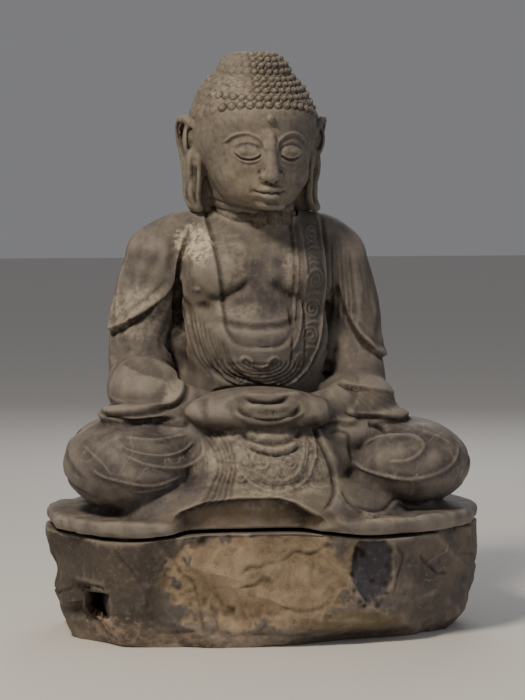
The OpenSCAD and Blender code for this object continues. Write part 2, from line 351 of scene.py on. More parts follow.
bedStone = {
    "width": 2 * stoneHigh.x / mm + 20, "depth": 2 * stoneHigh.y / mm + 16, "square": 2.5,
    "grain": 2.9, "triangles": 190000,
    "slotAt": (-310, -190, 70), "slotSize": (34, 190, 44),     # the bar slot's middle and size
    "bruiseDeep": 15,                                          # how far the stone is crushed beside the slot
    "slotTurn": 3,
    "drawIn": 36, "breakIn": 60, "breakTurn": 52,              # how far the foot draws in, and its broken corner
    "stepBack": 26,                                            # under the hollow of the slab above
    "facets": 90, "bite": (2, 8),                              # cuts of the point chisel and their depths
    "lumps": ((90, 3.0, 1), (36, 2.0, 2), (15, 1.1, 3), (7, 0.6, 6)),  # size, height and seed of each roughness
    "archAt": -60, "archHalf": 150, "archRise": 13,            # the joint rises in the middle of the front
    "ochreAt": (-35, -240, 116), "ochreSize": (166, 400, 84),
    "darkAt": (142, -230, 128), "darkSize": (36, 200, 62),
}


def squareOval(angle, a, b, square):
    return (np.abs(np.cos(angle) / a) ** square + np.abs(np.sin(angle) / b) ** square) ** (-1 / square)


def cutter(centre, size, turn=0):
    bpy.ops.mesh.primitive_cube_add(size=1, location=[c * mm for c in centre],
                                    rotation=(0, 0, math.radians(turn)), scale=[s * mm for s in size])
    return settle(bpy.context.object)


def archRise(p):  # how far the bed joint rises at each point
    s = bedStone
    return s["archRise"] * np.exp(-np.abs((p[:, 0] - s["archAt"]) / s["archHalf"]) ** 4) * ramp(-110, -190, p[:, 1])


def crack(clay, points, width, depth, seed, jag=5, **options):  # a broken line, not a smooth one
    dice = np.random.default_rng(seed)
    line = curved(points, 5)[::2]
    line[1:-1] += dice.uniform(-jag, jag, (len(line) - 2, 2))
    cut(clay, line, width, depth, **options)


def makeBedStone():
    s = bedStone
    bpy.ops.mesh.primitive_cylinder_add(vertices=96, radius=1, depth=1, location=(0, 0, 0.5))
    block = settle(bpy.context.object)
    for v in block.data.vertices:
        angle = math.atan2(v.co.y, v.co.x)
        reach = squareOval(angle, s["width"] / 2, s["depth"] / 2, s["square"]) if v.co.xy.length > 0.5 else 0
        v.co = (reach * math.cos(angle) * mm, reach * math.sin(angle) * mm, v.co.z * stoneTop * mm)
    tool = cutter(s["slotAt"], s["slotSize"], s["slotTurn"])
    apply(block, "BOOLEAN", operation="DIFFERENCE", object=tool, solver="EXACT")
    bpy.data.objects.remove(tool)
    clay = takeClay(fused([block], s["grain"], 1))
    p = clay["p"]
    height = p[:, 2] / stoneTop
    angle = np.arctan2(p[:, 1], p[:, 0])
    away = np.hypot(p[:, 0] / (s["width"] / 2), p[:, 1] / (s["depth"] / 2))
    # the foot draws in, most of all where the front left-hand corner has broken away
    foot = np.clip(1 - height / 0.42, 0, 1) ** 2
    broken = np.maximum(0, np.cos(angle + math.radians(s["breakTurn"]))) ** 6
    draw = foot * (s["drawIn"] + s["breakIn"] * broken) * ramp(0.35, 1, away)
    p[:, 0] -= draw * np.cos(angle)
    p[:, 1] -= draw * np.sin(angle)
    # the slab above is hollowed in front, so the stone steps back there
    arch = np.exp(-((p[:, 0] - s["archAt"]) / s["archHalf"]) ** 4)
    p[:, 1] += s["stepBack"] * arch * (p[:, 1] < -120) * ramp(0.3, 0.95, height)
    # flat cuts of a point chisel, one plane each
    dice = np.random.default_rng(11)
    for k in range(s["facets"]):
        turn = dice.uniform(0, 2 * math.pi)
        tip = math.radians(dice.uniform(-34, 22))
        middle = np.array([math.cos(turn), math.sin(turn), 0])
        middle *= squareOval(turn, s["width"] / 2, s["depth"] / 2, s["square"])
        middle[2] = dice.uniform(0.05, 0.8) * stoneTop
        facing = np.array([math.cos(turn) * math.cos(tip), math.sin(turn) * math.cos(tip), math.sin(tip)])
        bite = dice.uniform(*s["bite"])
        far = np.linalg.norm(p - middle, axis=1)
        over = np.maximum(0, (p - middle) @ facing + bite) * ramp(130, 60, far)
        p -= over[:, None] * facing * 0.85
    refresh(clay)
    front = ramp(-0.2, -0.7, clay["n"][:, 1])
    ochre = front * blot(p, s["ochreAt"], s["ochreSize"], 0.24, 4)
    dark = front * blot(p, s["darkAt"], s["darkSize"], 0.2, 9)
    steps = np.abs(((p[:, 2] * 0.75 + p[:, 0] * 0.4 + 34 * mottle(p, 90, 8)) / 44) % 1 - 0.5)
    # crushed stone between the slot and the corner
    bruise = ramp(-368, -324, p[:, 0]) * ramp(-300, -312, p[:, 0]) * ramp(34, 52, p[:, 2]) * ramp(108, 92, p[:, 2])
    outward = clay["n"][:, 0] * np.cos(angle) + clay["n"][:, 1] * np.sin(angle)
    bruise *= (p[:, 1] < -60) * ramp(0.2, 0.5, outward)
    clay["p"] += clay["n"] * (ochre * (4 * steps - 5) - 6 * dark - s["bruiseDeep"] * bruise)[:, None]
    # the crushed stone beside the slot is darkened too: painted shade
    clay["dirt"] = np.maximum(clay["dirt"], 0.5 * bruise)
    refresh(clay)
    side = ramp(0.25, 0.8, np.hypot(clay["n"][:, 0], clay["n"][:, 1]))
    clay["n"] = clay["n"] * side[:, None]
    plain = 1 - 0.75 * dark
    for size, high, seed in s["lumps"]:
        clay["p"] += clay["n"] * (plain * high * mottle(clay["p"], size, seed))[:, None]
    refresh(clay)
    for points, width, depth, seed, facing in (
            ([(-100, 118), (-60, 128), (-10, 138), (40, 150), (76, 166)], 2.1, 3.6, 31, "front"),
            ([(-90, 92), (-50, 104), (-20, 98)], 2.0, 3, 32, "front"),
            ([(-212, 178), (-186, 132), (-150, 92), (-136, 40), (-128, 8)], 2.1, 2.6, 33, "front"),
            ([(-290, 168), (-250, 120), (-232, 60)], 2.0, 2.8, 34, "front"),
            ([(180, 180), (192, 130), (176, 70)], 2.0, 2.8, 35, "front"),
            ([(230, 150), (262, 110), (300, 96)], 2.1, 3, 36, "front"),
            ([(-30, 70), (20, 60), (66, 74), (100, 60)], 2.0, 3, 37, "front"),
            ([(-240, 26), (-120, 30), (0, 20), (120, 34)], 2.6, 3.6, 38, "front"),
            ([(-260, 150), (-60, 120), (100, 60), (260, 50)], 3, 4, 39, "back"),
            ([(-120, 40), (-60, 90), (30, 120), (140, 150)], 3, 4, 40, "back"),
            ([(-150, 140), (-30, 100), (120, 120)], 3, 4, 41, "left"),
            ([(-120, 100), (0, 60), (140, 80)], 3, 4, 42, "right")):
        crack(clay, points, width, depth, seed, side=facing, fade=0.2, dirt=0.6, wear=0.7)
    p = clay["p"]
    level = (clay["n"][:, 2] > 0.7) & (p[:, 2] > stoneTop - 14)
    p[level, 2] = stoneTop
    p[:, 2] = np.clip(p[:, 2], 0, stoneTop) + archRise(p) * ramp(0.25, 1, p[:, 2] / stoneTop)
    p[(clay["n"][:, 2] < -0.8) & (p[:, 2] < 8), 2] = 0

    def paint(thin):
        q = thin["p"]
        facing = ramp(-0.15, -0.6, thin["n"][:, 1])
        return {
            "ochre": ramp(0.25, 0.6, facing * blot(q, s["ochreAt"], s["ochreSize"], 0.26, 4)),
            "violet": ramp(0.35, 0.6, facing * blot(q, s["darkAt"], s["darkSize"], 0.16, 9)),
            "sootAndShade": ramp(-150, -230, q[:, 0] + 50 * mottle(q, 60, 18))
            * ramp(20, 60, q[:, 2] + 14 * mottle(q, 30, 19)),
            "cream": np.maximum(blot(q, (-290, -200, 26), (60, 90, 26), 0.4, 12),
                                0.5 * ramp(0.3, 0.8, mottle(q, 110, 15)) + 0.3 * ramp(40, 10, q[:, 2])),
            "olive": facing * blot(q, (112, -220, 40), (74, 110, 20), 0.3, 16),
        }
    return finishClay(clay, "bedStone", s["triangles"], paint)


# Each mass is its centre x, y, z and its half-sizes; a limb is a line of points with a radius
trunkBalls = [
    (-8, 62, 600, 150, 106, 122), (-8, 52, 490, 142, 112, 130), (-12, 46, 424, 132, 96, 96),
    (-10, 4, 452, 98, 70, 86), (-66, 0, 614, 62, 42, 50), (42, 0, 614, 62, 42, 50),
    (-4, 64, 655, 108, 76, 60), (0, 116, 300, 232, 118, 104), (-8, 100, 560, 136, 78, 130),
    (-160, 88, 500, 50, 50, 130), (136, 88, 500, 48, 50, 130),
]
legBalls = [
    (-237, -62, 294, 118, 126, 82), (233, -62, 288, 120, 124, 80),
    (-204, 60, 288, 134, 150, 76), (204, 60, 282, 134, 150, 72),
    (-24, -120, 290, 140, 88, 88), (-20, -60, 306, 200, 110, 62),
    (-24, -108, 214, 240, 146, 78), (-140, -74, 350, 84, 66, 38), (120, -74, 350, 84, 66, 38),
]
sleeveBalls = [
    (-212, -16, 418, 62, 84, 58), (160, -30, 398, 66, 84, 46), (-234, -76, 384, 68, 50, 18),
    (190, -60, 376, 48, 56, 15),
]
trunkLimbs = [
    [(-178, 68, 634, 54), (-122, 76, 664, 48), (-60, 74, 668, 46), (60, 74, 668, 44), (112, 76, 664, 46),
     (152, 68, 634, 50)],
    [(-174, 66, 636, 52), (-198, 58, 570, 53), (-210, 46, 490, 53), (-212, 16, 420, 54)],
    [(150, 66, 636, 48), (169, 58, 570, 47), (175, 46, 490, 46), (174, 16, 420, 48)],
    [(-206, 0, 404, 50), (-168, -62, 398, 41), (-124, -94, 394, 32), (-90, -106, 390, 28)],
    [(172, 0, 400, 48), (138, -62, 398, 42), (96, -96, 394, 33), (56, -108, 390, 28)],
]

figure = {
    "baseGrain": 5, "grain": 2.6, "triangles": 198000,
    "neckHold": 74,            # inside this radius the top is cut flat for the neck joint
    "handsAt": (-30, -122, 392), "handsSize": (128, 64, 41),
    "rim": (376, 257, 2.5),    # half-width, half-depth and squareness of the slab
    "scoop": 44,               # how far the band under the hem lies back
    "hem": [(-226, 204), (-202, 213), (-178, 229), (-139, 246), (-86, 254), (-17, 254), (10, 244), (32, 228),
            (58, 211), (76, 204)],
    # how much lower a point sits for its distance in front of the middle, by height
    "bowHeights": [215, 300, 400, 600, 720], "bowShares": [0, 0.045, 0.066, 0.11, 0.11],
    "rimLumps": ((50, 3.4, 24), (18, 1.4, 25)), "lumps": ((60, 1.3, 21), (22, 0.6, 22), (8, 0.25, 23)),
}


def makeSlab():
    bpy.ops.mesh.primitive_cylinder_add(vertices=160, radius=1, depth=1, location=(0, 0, 0.5))
    slab = settle(bpy.context.object)
    a, b, square = figure["rim"]
    for v in slab.data.vertices:
        angle = math.atan2(v.co.y, v.co.x)
        reach = squareOval(angle, a, b, square) if v.co.xy.length > 0.5 else 0
        v.co = (reach * math.cos(angle) * mm, reach * math.sin(angle) * mm,
                (seatZ + v.co.z * (slabTop - seatZ)) * mm)
    apply(slab, "BEVEL", width=0.007, segments=3, limit_method="ANGLE")
    return slab


def hollowFront(clay):  # the robe's hem rises in the middle of the front, over a smooth scooped band
    p = clay["p"]
    a, b, square = figure["rim"]
    x = np.clip(np.abs(p[:, 0] / a), 0, 0.98)
    rimY = -b * (1 - x ** square) ** (1 / square)
    lip = np.interp(p[:, 0], *zip(*figure["hem"]))
    ends = ramp(-224, -160, p[:, 0]) * ramp(74, 22, p[:, 0])
    below = ramp(lip + 3, lip - 4, p[:, 2]) * ends
    target = rimY + figure["scoop"] * ends
    p[:, 1] = np.where((p[:, 1] < target) & (p[:, 1] < -100), p[:, 1] + (target - p[:, 1]) * below, p[:, 1])
    nearLip = np.exp(-((p[:, 2] - lip - 5) / 5) ** 2) * ends * ramp(-150, -200, p[:, 1])
    p[:, 1] -= 4 * nearLip
    # the band just under the hem is darkened: painted shade
    under = np.exp(-((p[:, 2] - lip + 7) / 5) ** 2) * ends * ramp(-140, -190, p[:, 1])
    clay["dirt"] = np.maximum(clay["dirt"], 0.7 * under)


def carveChest(clay):
    opening = [(-96, 724), (-91, 680), (-86, 631), (-80, 590), (-75, 549), (-71, 518), (-52, 494), (-18, 488),
               (18, 490), (38, 508), (47, 545), (50, 590), (52, 640), (50, 718)]
    front = (-400, 70)
    swell(clay, (-62, 634), (64, 62), 4)
    swell(clay, (40, 634), (60, 62), 4)
    swell(clay, (-16, 520), (84, 34), 5)
    refresh(clay)
    carve(clay, [
        ([(-110, 566), (-85, 571), (-64, 580), (-42, 594), (-24, 612)], 8, 7, 0.25, 0.25, 0.1),
        ([(6, 606), (24, 590), (42, 577), (70, 566)], 8, 7, 0.25, 0.25, 0.1),
        ([(-96, 538), (-60, 531), (-16, 527), (24, 530), (64, 538)], 6, 6, 0.2, 0.25, 0.1),
        ([(-20, 606), (-20, 640), (-18, 690)], 18, 3, 0.3, 0.05, 0.3),
        ([(-74, 694), (-30, 676), (20, 678), (52, 694)], 9, 3, 0.3, 0.1, 0.3),
        # robe edge round the open chest, with a fine rolled lip
        (opening[::-1], 1.9, 5.5, 0.02, 0.8, 0.05, lap(40))], within=front)
    refresh(clay)
    cut(clay, [(-68, 516), (-50, 496), (-18, 489), (18, 491), (36, 508), (46, 545), (48, 590)], 2.4, 3.0,
        shape="ridge", fade=0.12, within=front, dirt=0.05, wear=0.05)


def carveCollar(clay):
    front = (-92, 90)
    inner = [(66, 704), (68, 644), (68, 597), (62, 549), (52, 505), (34, 476)]
    outer = [(107, 706), (109, 641), (110, 594), (104, 545), (93, 494), (70, 450), (38, 424)]
    for line, width, high in ((inner, 2.2, 3.4), (outer, 2.8, 5.2)):
        cut(clay, line, width, high, shape="ridge", fade=0.05, within=front, dirt=0.8, wear=0.15)
    carve(clay, [
        ([(x + 8, z) for x, z in outer], 3, 3.6, 0.05, 0.8, 0.1),
        ([(58, 700), (58, 640), (58, 590), (53, 545), (44, 512)], 2.2, 3, 0.05, 0.6, 0.1)], within=front)
    # scrolls of cloud down the collar
    for x, z, r, way in ((88, 676, 14, 1), (88, 604, 20, -1), (84, 552, 18, 1), (77, 508, 16, -1), (58, 468, 13, 1)):
        spiral = [(x + way * r * (1 - t / 15) * math.cos(t), z + r * (1 - t / 15) * math.sin(t))
                  for t in range(14)]
        carve(clay, [
            (spiral, 1.8, 3.4, 0.05, 0.9, 0.25, ridge),
            ([(x - 18, z - r - 8), (x, z - r - 3), (x + 18, z - r - 9)], 1.9, 2.8, 0.15, 0.7, 0.3, ridge)],
            within=front)
    for z in range(630, 664, 8):
        cut(clay, [(74, z), (84, z + 5), (94, z), (102, z + 4)], 1.7, 2.2, shape="ridge", within=front, dirt=0.6,
            wear=0.4)
    # nested loops of the under-robe below the belly
    for k in range(8):
        wide, deep = 22 + 8.6 * k, 5 + 6.3 * k
        loop = [(-16 + wide * math.cos(a), 468 + deep * math.sin(a))
                for a in np.linspace(math.radians(172), math.radians(366), 15)]
        if k in (4, 7):
            loop += [(-16 + wide + 2, 500 + 4 * k), (-20 + wide + 2, 530 + 8 * k)]
        cut(clay, loop, 2.0, 4.2, fade=0.08, within=front, dirt=0.9, wear=0.2)
    cloud = [(-52, 466), (-44, 475), (-33, 471), (-28, 462), (-16, 457), (-5, 462), (0, 471), (11, 475), (20, 466)]
    cut(clay, cloud, 2.2, 4.5, shape="ridge", fade=0.1, within=front, dirt=0.8, wear=0.1)
    swell(clay, (-119, 586), (9, 8), 5)
    swell(clay, (-104, 557), (18, 11), -6)


def carveRobeFolds(clay):
    front = (-92, 130)
    # long folds from the breast down into the lap, on the right-hand side
    for k in range(10):
        line = [(-138 + 7 * k, 566 - 7 * k), (-132 + 7.6 * k, 512 - 5 * k), (-117 + 9 * k, 464 - 3 * k),
                (-88 + 11 * k, 434 - 1.5 * k)]
        cut(clay, line, 2.0, 2.6 + 0.9 * (k % 3), fade=0.2, within=front, dirt=0.65, wear=0.4)
    # fine pleats of the mantle over the left breast
    for k in range(6):
        top = 119 + 8 * k
        cut(clay, [(top, 690 - 7 * k), (top + 2, 620), (top + 2 + k, 556), (top - 4 + 2 * k, 504)], 2.2,
            2.4 + 1.3 * (k % 2), fade=0.25, within=(-92, 70), dirt=0.6, wear=0.4)
    for k in range(3):
        cut(clay, [(176 + 9 * k, 640), (186 + 9 * k, 590), (186 + 11 * k, 530)], 5, 2.4, fade=0.35, within=front,
            dirt=0.25, wear=0.3)
    carve(clay, [
        ([(134, 610), (146, 560), (160, 524), (174, 500), (192, 480), (217, 462), (256, 446)], 2.6, 10, (0.45, 0.01),
         1, 0.1, lap(50)),
        ([(170, 532), (186, 508), (206, 490), (236, 474)], 4, 2.6, 0.25, 0.2, 0.3)], within=(-400, 70))
    # upper sleeve over the right arm, with its turned hem
    hem = [(-118, 704), (-134, 664), (-144, 634), (-150, 606), (-158, 590), (-170, 574), (-187, 560), (-208, 544),
           (-234, 526), (-284, 490)]
    cut(clay, hem[::-1], 2.6, 12, shape="lap", reach=60, fade=(0.01, 0.42), within=(-400, 90), dirt=1.0, wear=0.05)
    refresh(clay)
    cut(clay, [(x - 6, z + 17) for x, z in hem[4:]], 3.4, 2.6, fade=0.2, within=(-400, 90), dirt=0.25, wear=0.2)
    for line in ([(-204, 672), (-226, 618), (-238, 566)], [(-172, 660), (-198, 612), (-214, 574)],
                 [(-142, 668), (-158, 636), (-166, 604)]):
        cut(clay, line, 8, 3.2, fade=0.35, within=(-400, 90), dirt=0.1)
    # the dark hollows between the arms and the body
    for line, deep in (([(-147, 606), (-146, 576), (-144, 530), (-141, 480), (-134, 438)], 14),
                       ([(122, 566), (124, 520), (121, 476), (113, 434)], 9)):
        cut(clay, line, 4.5, deep, fade=0.15, within=(-60, 110), dirt=0.9, wear=0)
    # lower sleeve, rounded like a bell, with the wrist coming out
    mouth = [(-196, 512), (-172, 486), (-156, 462), (-150, 438), (-158, 416), (-178, 401), (-217, 394), (-290, 387)]
    cut(clay, mouth[::-1], 2.6, 9, shape="lap", reach=50, fade=(0.01, 0.4), within=(-400, 60), dirt=0.95, wear=0.05)
    for k in range(5):
        cut(clay, [(-270 + 6 * k, 486 - 8 * k), (-222 + 5 * k, 480 - 7 * k), (-176 + 3 * k, 456 - 6 * k)], 4, 2.2,
            fade=0.3, within=(-400, 60), dirt=0.2, wear=0.4)
    # left sleeve pleats, spreading from the wrist to the knee
    for k in range(10):
        line = [(100 + 2 * k, 440 - 2 * k), (126 + 7 * k, 426 - k), (150 + 10 * k, 402 - k), (170 + 12 * k, 378)]
        cut(clay, line, 2.4, 2.6 + (k % 2), fade=0.2, within=(-400, 60), dirt=0.55, wear=0.3)
    carve(clay, [
        ([(118, 392), (134, 380), (178, 378), (232, 370), (276, 372)], 2.6, 8, 0.08, 0.95, 0.05, lap(34)),
        ([(-300, 392), (-262, 380), (-234, 377), (-200, 379), (-168, 380)], 2.4, 6, 0.1, 0.8, 0.1)], within=(-400, 60))


def carveHands(clay):
    front = (-400, -60)
    swell(clay, (-22, 409), (74, 20), -12, power=-0.2)
    refresh(clay)
    bar = [(-68, 413), (-50, 405), (-24, 402), (2, 404), (22, 412)]
    cut(clay, bar, 5.4, 12, shape="ridge", fade=0.32, within=front, dirt=0, wear=0)
    refresh(clay)
    carve(clay, [
        ([(-66, 423), (-46, 415), (-24, 412.5), (-2, 415), (20, 423)], 2.8, 9, 0.25, 1.0, 0),
        ([(-78, 409), (-62, 395), (-42, 387), (-22, 385), (2, 388), (20, 396), (36, 409)], 3.6, 8, 0.1, 0.9, 0),
        ([(-96, 412), (-72, 384), (-40, 371), (-8, 371), (26, 384), (58, 412)], 6, 3, 0.15, 0.15, 0),
        ([(-66, 425), (-40, 424), (-14, 423), (20, 424), (46, 425)], 3.4, 3, 0.2, 0.2, 0, ridge),
        ([(-17, 402), (-16, 390)], 1.8, 2.4, 0.3, 0.5, 0)], within=front)
    # the bowl of the hands is darkened underneath: painted shade
    under = ramp(-0.05, -0.75, clay["n"][:, 2]) * blot(clay["p"], figure["handsAt"], (150, 90, 56), 0.1, 47)
    clay["dirt"] = np.maximum(clay["dirt"], 0.75 * under)
    # where the wrists meet the palms
    carve(clay, [
        ([(-124, 432), (-131, 404), (-125, 378)], 7, 3, 0.3, 0.15, 0),
        ([(80, 432), (90, 404), (84, 376)], 7, 3, 0.3, 0.15, 0)], within=front)


def carveLap(clay):
    front = (-400, 20)
    crescent = [(-62, 350), (-40, 339), (-17, 335), (8, 339), (28, 350)]
    carve(clay, [
        (crescent, 5.5, 9, 0.15, 0.2, 0.05, ridge),
        ([(x, z - 9) for x, z in crescent], 2.6, 4, 0.1, 0.9, 0),
        ([(-74, 358), (-17, 347), (40, 358)], 4, 5, 0.1, 0.9, 0)], within=front)
    # bands that fall from the wrist beside the apron and spread over the seat
    for k in range(5):
        line = [(-152 + 12 * k, 366), (-122 + 8 * k, 348), (-110 + 6.6 * k, 306), (-124 + 8 * k, 268),
                (-156 + 12 * k, 240), (-204 + 19 * k, 222 + k)]
        cut(clay, line, 2.4, 3.6 + 1.2 * (k % 2), fade=(0.22, 0.5), within=front, dirt=0.65, wear=0.2)
    # looped panel with its scrolls
    for grow, high in ((0, 3.6), (6, 2.6), (22, 3.0)):
        panel = [(-70 - grow, 356), (-66 - grow, 326), (-46 - 0.7 * grow, 294 - 0.6 * grow), (-16, 281 - 0.8 * grow),
                 (16 + 0.7 * grow, 292 - 0.6 * grow), (32 + grow, 322), (36 + grow, 353)]
        cut(clay, panel, 2.0, high, shape="ridge", fade=0.05, within=front, dirt=0.85, wear=0.2)
    for x, z, r, way in ((-40, 318, 20, 1), (6, 314, 16, -1), (-84, 336, 8, 1), (-84, 312, 9, -1), (-74, 288, 9, 1),
                         (50, 338, 8, -1), (52, 316, 8, 1), (40, 288, 9, -1), (-34, 264, 8, 1), (4, 264, 8, -1)):
        spiral = [(x + way * r * (1 - t / 14) * math.cos(t), z + r * (1 - t / 14) * math.sin(t)) for t in range(13)]
        cut(clay, spiral, 1.7, 2.8, shape="ridge", fade=0.05, within=front, dirt=0.8, wear=0.3)
    fall = [(66, 366), (66, 350), (80, 314), (88, 278), (78, 250), (58, 228)]
    carve(clay, [
        (fall, 2.2, 6.5, 0.05, 0.95, 0.05, lap(26)),
        ([(62, 364), (92, 373), (122, 369), (146, 372)], 2.6, 5, 0.15, 0.8, 0.3, lap(24)),
        ([(84, 354), (104, 356), (120, 348), (124, 326), (132, 296)], 2.6, 4, 0.1, 0.7, 0.3),
        ([(94, 262), (104, 240), (118, 226), (128, 218)], 2.6, 4, 0.1, 0.7, 0.3)], within=front)
    # the cloth's edge where it lies on the slab by the left knee
    ripple = [(84, 222), (98, 239), (112, 232), (128, 224), (150, 218), (172, 219), (190, 228), (204, 232), (218, 224),
              (236, 219), (262, 223), (286, 226)]
    cut(clay, ripple[::-1], 2.2, 5, shape="lap", reach=16, fade=(0.1, 0.3), within=(-400, -60), dirt=0.95, wear=0.1)
    # knees: crescent folds of thin cloth
    for line, width, high, kind in (
            ([(-274, 350), (-262, 338), (-236, 330), (-196, 325), (-160, 330), (-140, 348)], 2.4, 4.6, "ridge"),
            ([(-262, 356), (-230, 351), (-190, 350), (-152, 356)], 2.2, 3.4, "ridge"),
            ([(-268, 330), (-240, 316), (-214, 309), (-186, 304), (-160, 304), (-140, 314), (-130, 330), (-132, 352)],
             2.4, 4.4, "ridge"),
            ([(-322, 304), (-300, 290), (-276, 284), (-240, 276), (-206, 276), (-164, 290)], 2.2, 3.6, "ridge"),
            ([(-330, 340), (-300, 312), (-286, 290)], 2.2, 2.2, "ridge"),
            ([(-250, 262), (-215, 266), (-180, 276)], 2, 2.6, "ridge"),
            ([(146, 322), (162, 338), (196, 346), (230, 346), (246, 336), (238, 322), (214, 309), (176, 306)],
             2.4, 4.2, "ridge"),
            ([(126, 308), (142, 292), (164, 284), (196, 277), (226, 276), (262, 284), (296, 300), (320, 330)],
             2.4, 4.4, "ridge"),
            ([(216, 276), (224, 262), (222, 240)], 2, 2.2, "ridge"),
            ([(250, 352), (276, 344), (300, 330)], 2, 2.4, "ridge"),
            ([(158, 366), (176, 360), (192, 352)], 4, 7, "groove"),
            ([(-266, 372), (-220, 376), (-180, 373), (-146, 372)], 4, 6, "groove")):
        cut(clay, line, width, high, shape=kind, reach=26, fade=0.12, within=(-400, 40), dirt=0.45, wear=0.15)


def carveBack(clay):
    behind = (-40, 400)
    for k in range(9):      # folds that sweep from the left shoulder to the right hip
        line = [(140 - 17 * k, 660 - 3 * k), (110 - 19 * k, 590 - 5 * k), (60 - 20 * k, 510 - 8 * k),
                (0 - 20 * k, 430 - 8 * k), (-80 - 12 * k, 372 - 6 * k)]
        cut(clay, line, 4.5, 4.0 - 0.8 * (k % 2), side="back", fade=0.2, within=behind, dirt=0.5, wear=0.4)
    edge = [(-120, 690), (-60, 676), (0, 670), (60, 676), (120, 690)]
    carve(clay, [
        (edge[::-1], 3.5, 6, 0.08, 0.8, 0.3, lap(40)),
        ([(96, 690), (128, 600), (146, 500), (156, 420)], 5, 7, 0.15, 0.6, 0.3),
        ([(-110, 690), (-144, 600), (-162, 500), (-172, 430)], 5, 7, 0.15, 0.6, 0.3)], side="back", within=behind)
    for k in range(6):      # the skirt gathered under the back
        cut(clay, [(-170 + 66 * k, 372), (-150 + 60 * k, 320), (-190 + 74 * k, 262), (-205 + 80 * k, 226)], 6, 4.2,
            side="back", fade=0.2, within=behind, dirt=0.5, wear=0.3)
    cut(clay, [(-300, 262), (-150, 240), (0, 246), (150, 240), (300, 262)], 4, 6, shape="lap", side="back", reach=40,
        fade=0.1, within=behind, dirt=0.8)
    for side in ("right", "left"):
        for k in range(5):  # sleeves seen from the side
            cut(clay, [(104 - 14 * k, 640), (100 - 20 * k, 570), (74 - 22 * k, 500), (30 - 22 * k, 440)], 6, 3,
                side=side, fade=0.35, within=(-400, 400), dirt=0.25, wear=0.4)
        carve(clay, [
            ([(150, 300), (60, 330), (-60, 316), (-150, 280)], 5, 3.6, 0.15, 0.4, 0.3),
            ([(170, 262), (60, 282), (-70, 268), (-140, 246)], 5, 3.2, 0.15, 0.4, 0.3)], side=side)


def makeFigure():
    s = figure
    parts = [ball(*b) for b in trunkBalls + legBalls + sleeveBalls]
    parts += [limb(line) for line in trunkLimbs]
    parts += [limb([(0, neckY, 640, 96), (0, neckY, 680, 78), (0, neckY, neckZ + 14, 71)])]
    parts += [makeSlab()]
    # soft joins first, and the hands after, so they keep their outline
    body = fused(parts, s["baseGrain"], 9)
    obj = fused([body, ball(*s["handsAt"], *s["handsSize"])], s["baseGrain"] * 0.8, 3)
    apply(obj, "REMESH", mode="VOXEL", voxel_size=s["grain"] * mm)
    clay = takeClay(obj)
    print("figure rough", len(clay["p"]), "points")
    hollowFront(clay)
    refresh(clay)
    for job in (carveChest, carveCollar, carveRobeFolds, carveHands, carveLap, carveBack):
        job(clay)
        refresh(clay)
    # what is in front of the middle sits lower, as the statue bows a little
    p = clay["p"]
    p[:, 2] += p[:, 1] * np.interp(p[:, 2], s["bowHeights"], s["bowShares"])
    outer = np.hypot(p[:, 0] / s["rim"][0], p[:, 1] / s["rim"][1])
    rim = ramp(slabTop + 14, slabTop - 2, p[:, 2]) * ramp(0.8, 0.95, outer)
    for size, high, seed in s["rimLumps"]:
        clay["p"] += clay["n"] * (rim * high * mottle(clay["p"], size, seed) - rim * 0.3 * high)[:, None]
    for size, high, seed in s["lumps"]:
        roughen(clay, size, high, seed)
    refresh(clay)
    p = clay["p"]
    overNeck = (np.hypot(p[:, 0], p[:, 1] - neckY) < s["neckHold"]) & (p[:, 2] > neckZ)
    p[overNeck, 2] = neckZ
    p[:, 2] = np.where(p[:, 2] < seatZ + 3, seatZ, p[:, 2])
    p[:, 2] += archRise(p) * ramp(slabTop - 4, seatZ, p[:, 2])

    def paint(thin):
        q, n = thin["p"], thin["n"]
        knees = blots(q, [(1, (-235, -110, 292), (135, 150, 92), 0.12, 31),
                          (1, (245, -110, 296), (125, 150, 88), 0.12, 32)])
        stainsAndHandShade = blots(q, [(0.7, (-150, 20, 650), (130, 140, 80), 0.3, 33),
                           (1, (-10, -60, 580), (74, 90, 92), 0.25, 34),
                           (0.9, (-200, 10, 505), (64, 90, 34), 0.3, 44),
                           # this last patch darkens the hands: painted shade
                           (0.55, (-20, -130, 385), (160, 110, 54), 0.3, 48)])
        lime = blots(q, [(0.42, (-20, -150, 290), (110, 120, 70), 0.3, 46),
                         (0.9, (-122, -10, 664), (32, 90, 34), 0.35, 37), (0.4, (-215, 0, 556), (66, 80, 32), 0.3, 35),
                         (0.2, (-60, -20, 628), (22, 90, 52), 0.4, 38), (0.35, (46, -30, 620), (16, 80, 44), 0.4, 39),
                         (0.2, (-210, 0, 520), (90, 90, 18), 0.5, 45)])
        return {
            "veined": knees,
            "violet": np.maximum.reduce([knees, stainsAndHandShade, 0.16 + 0.4 * ramp(0.1, 0.7, mottle(q, 90, 36))]),
            "cream": np.maximum(lime, 0.3 * ramp(0.35, 0.8, mottle(q, 46, 40)) * ramp(0, 0.6, n[:, 2])),
            "olive": np.clip(ramp(0.0, 0.7, mottle(q, 130, 41)) * 0.6
                             + 0.7 * blot(q, (0, -120, 270), (130, 200, 90), 0.3, 42), 0, 1) * (1 - knees),
            "ochre": 0.5 * blot(q, (-60, -210, 216), (150, 80, 30), 0.3, 43) * ramp(seatZ + 68, seatZ + 50, q[:, 2]),
        }
    return finishClay(clay, "seatedFigure", s["triangles"], paint)


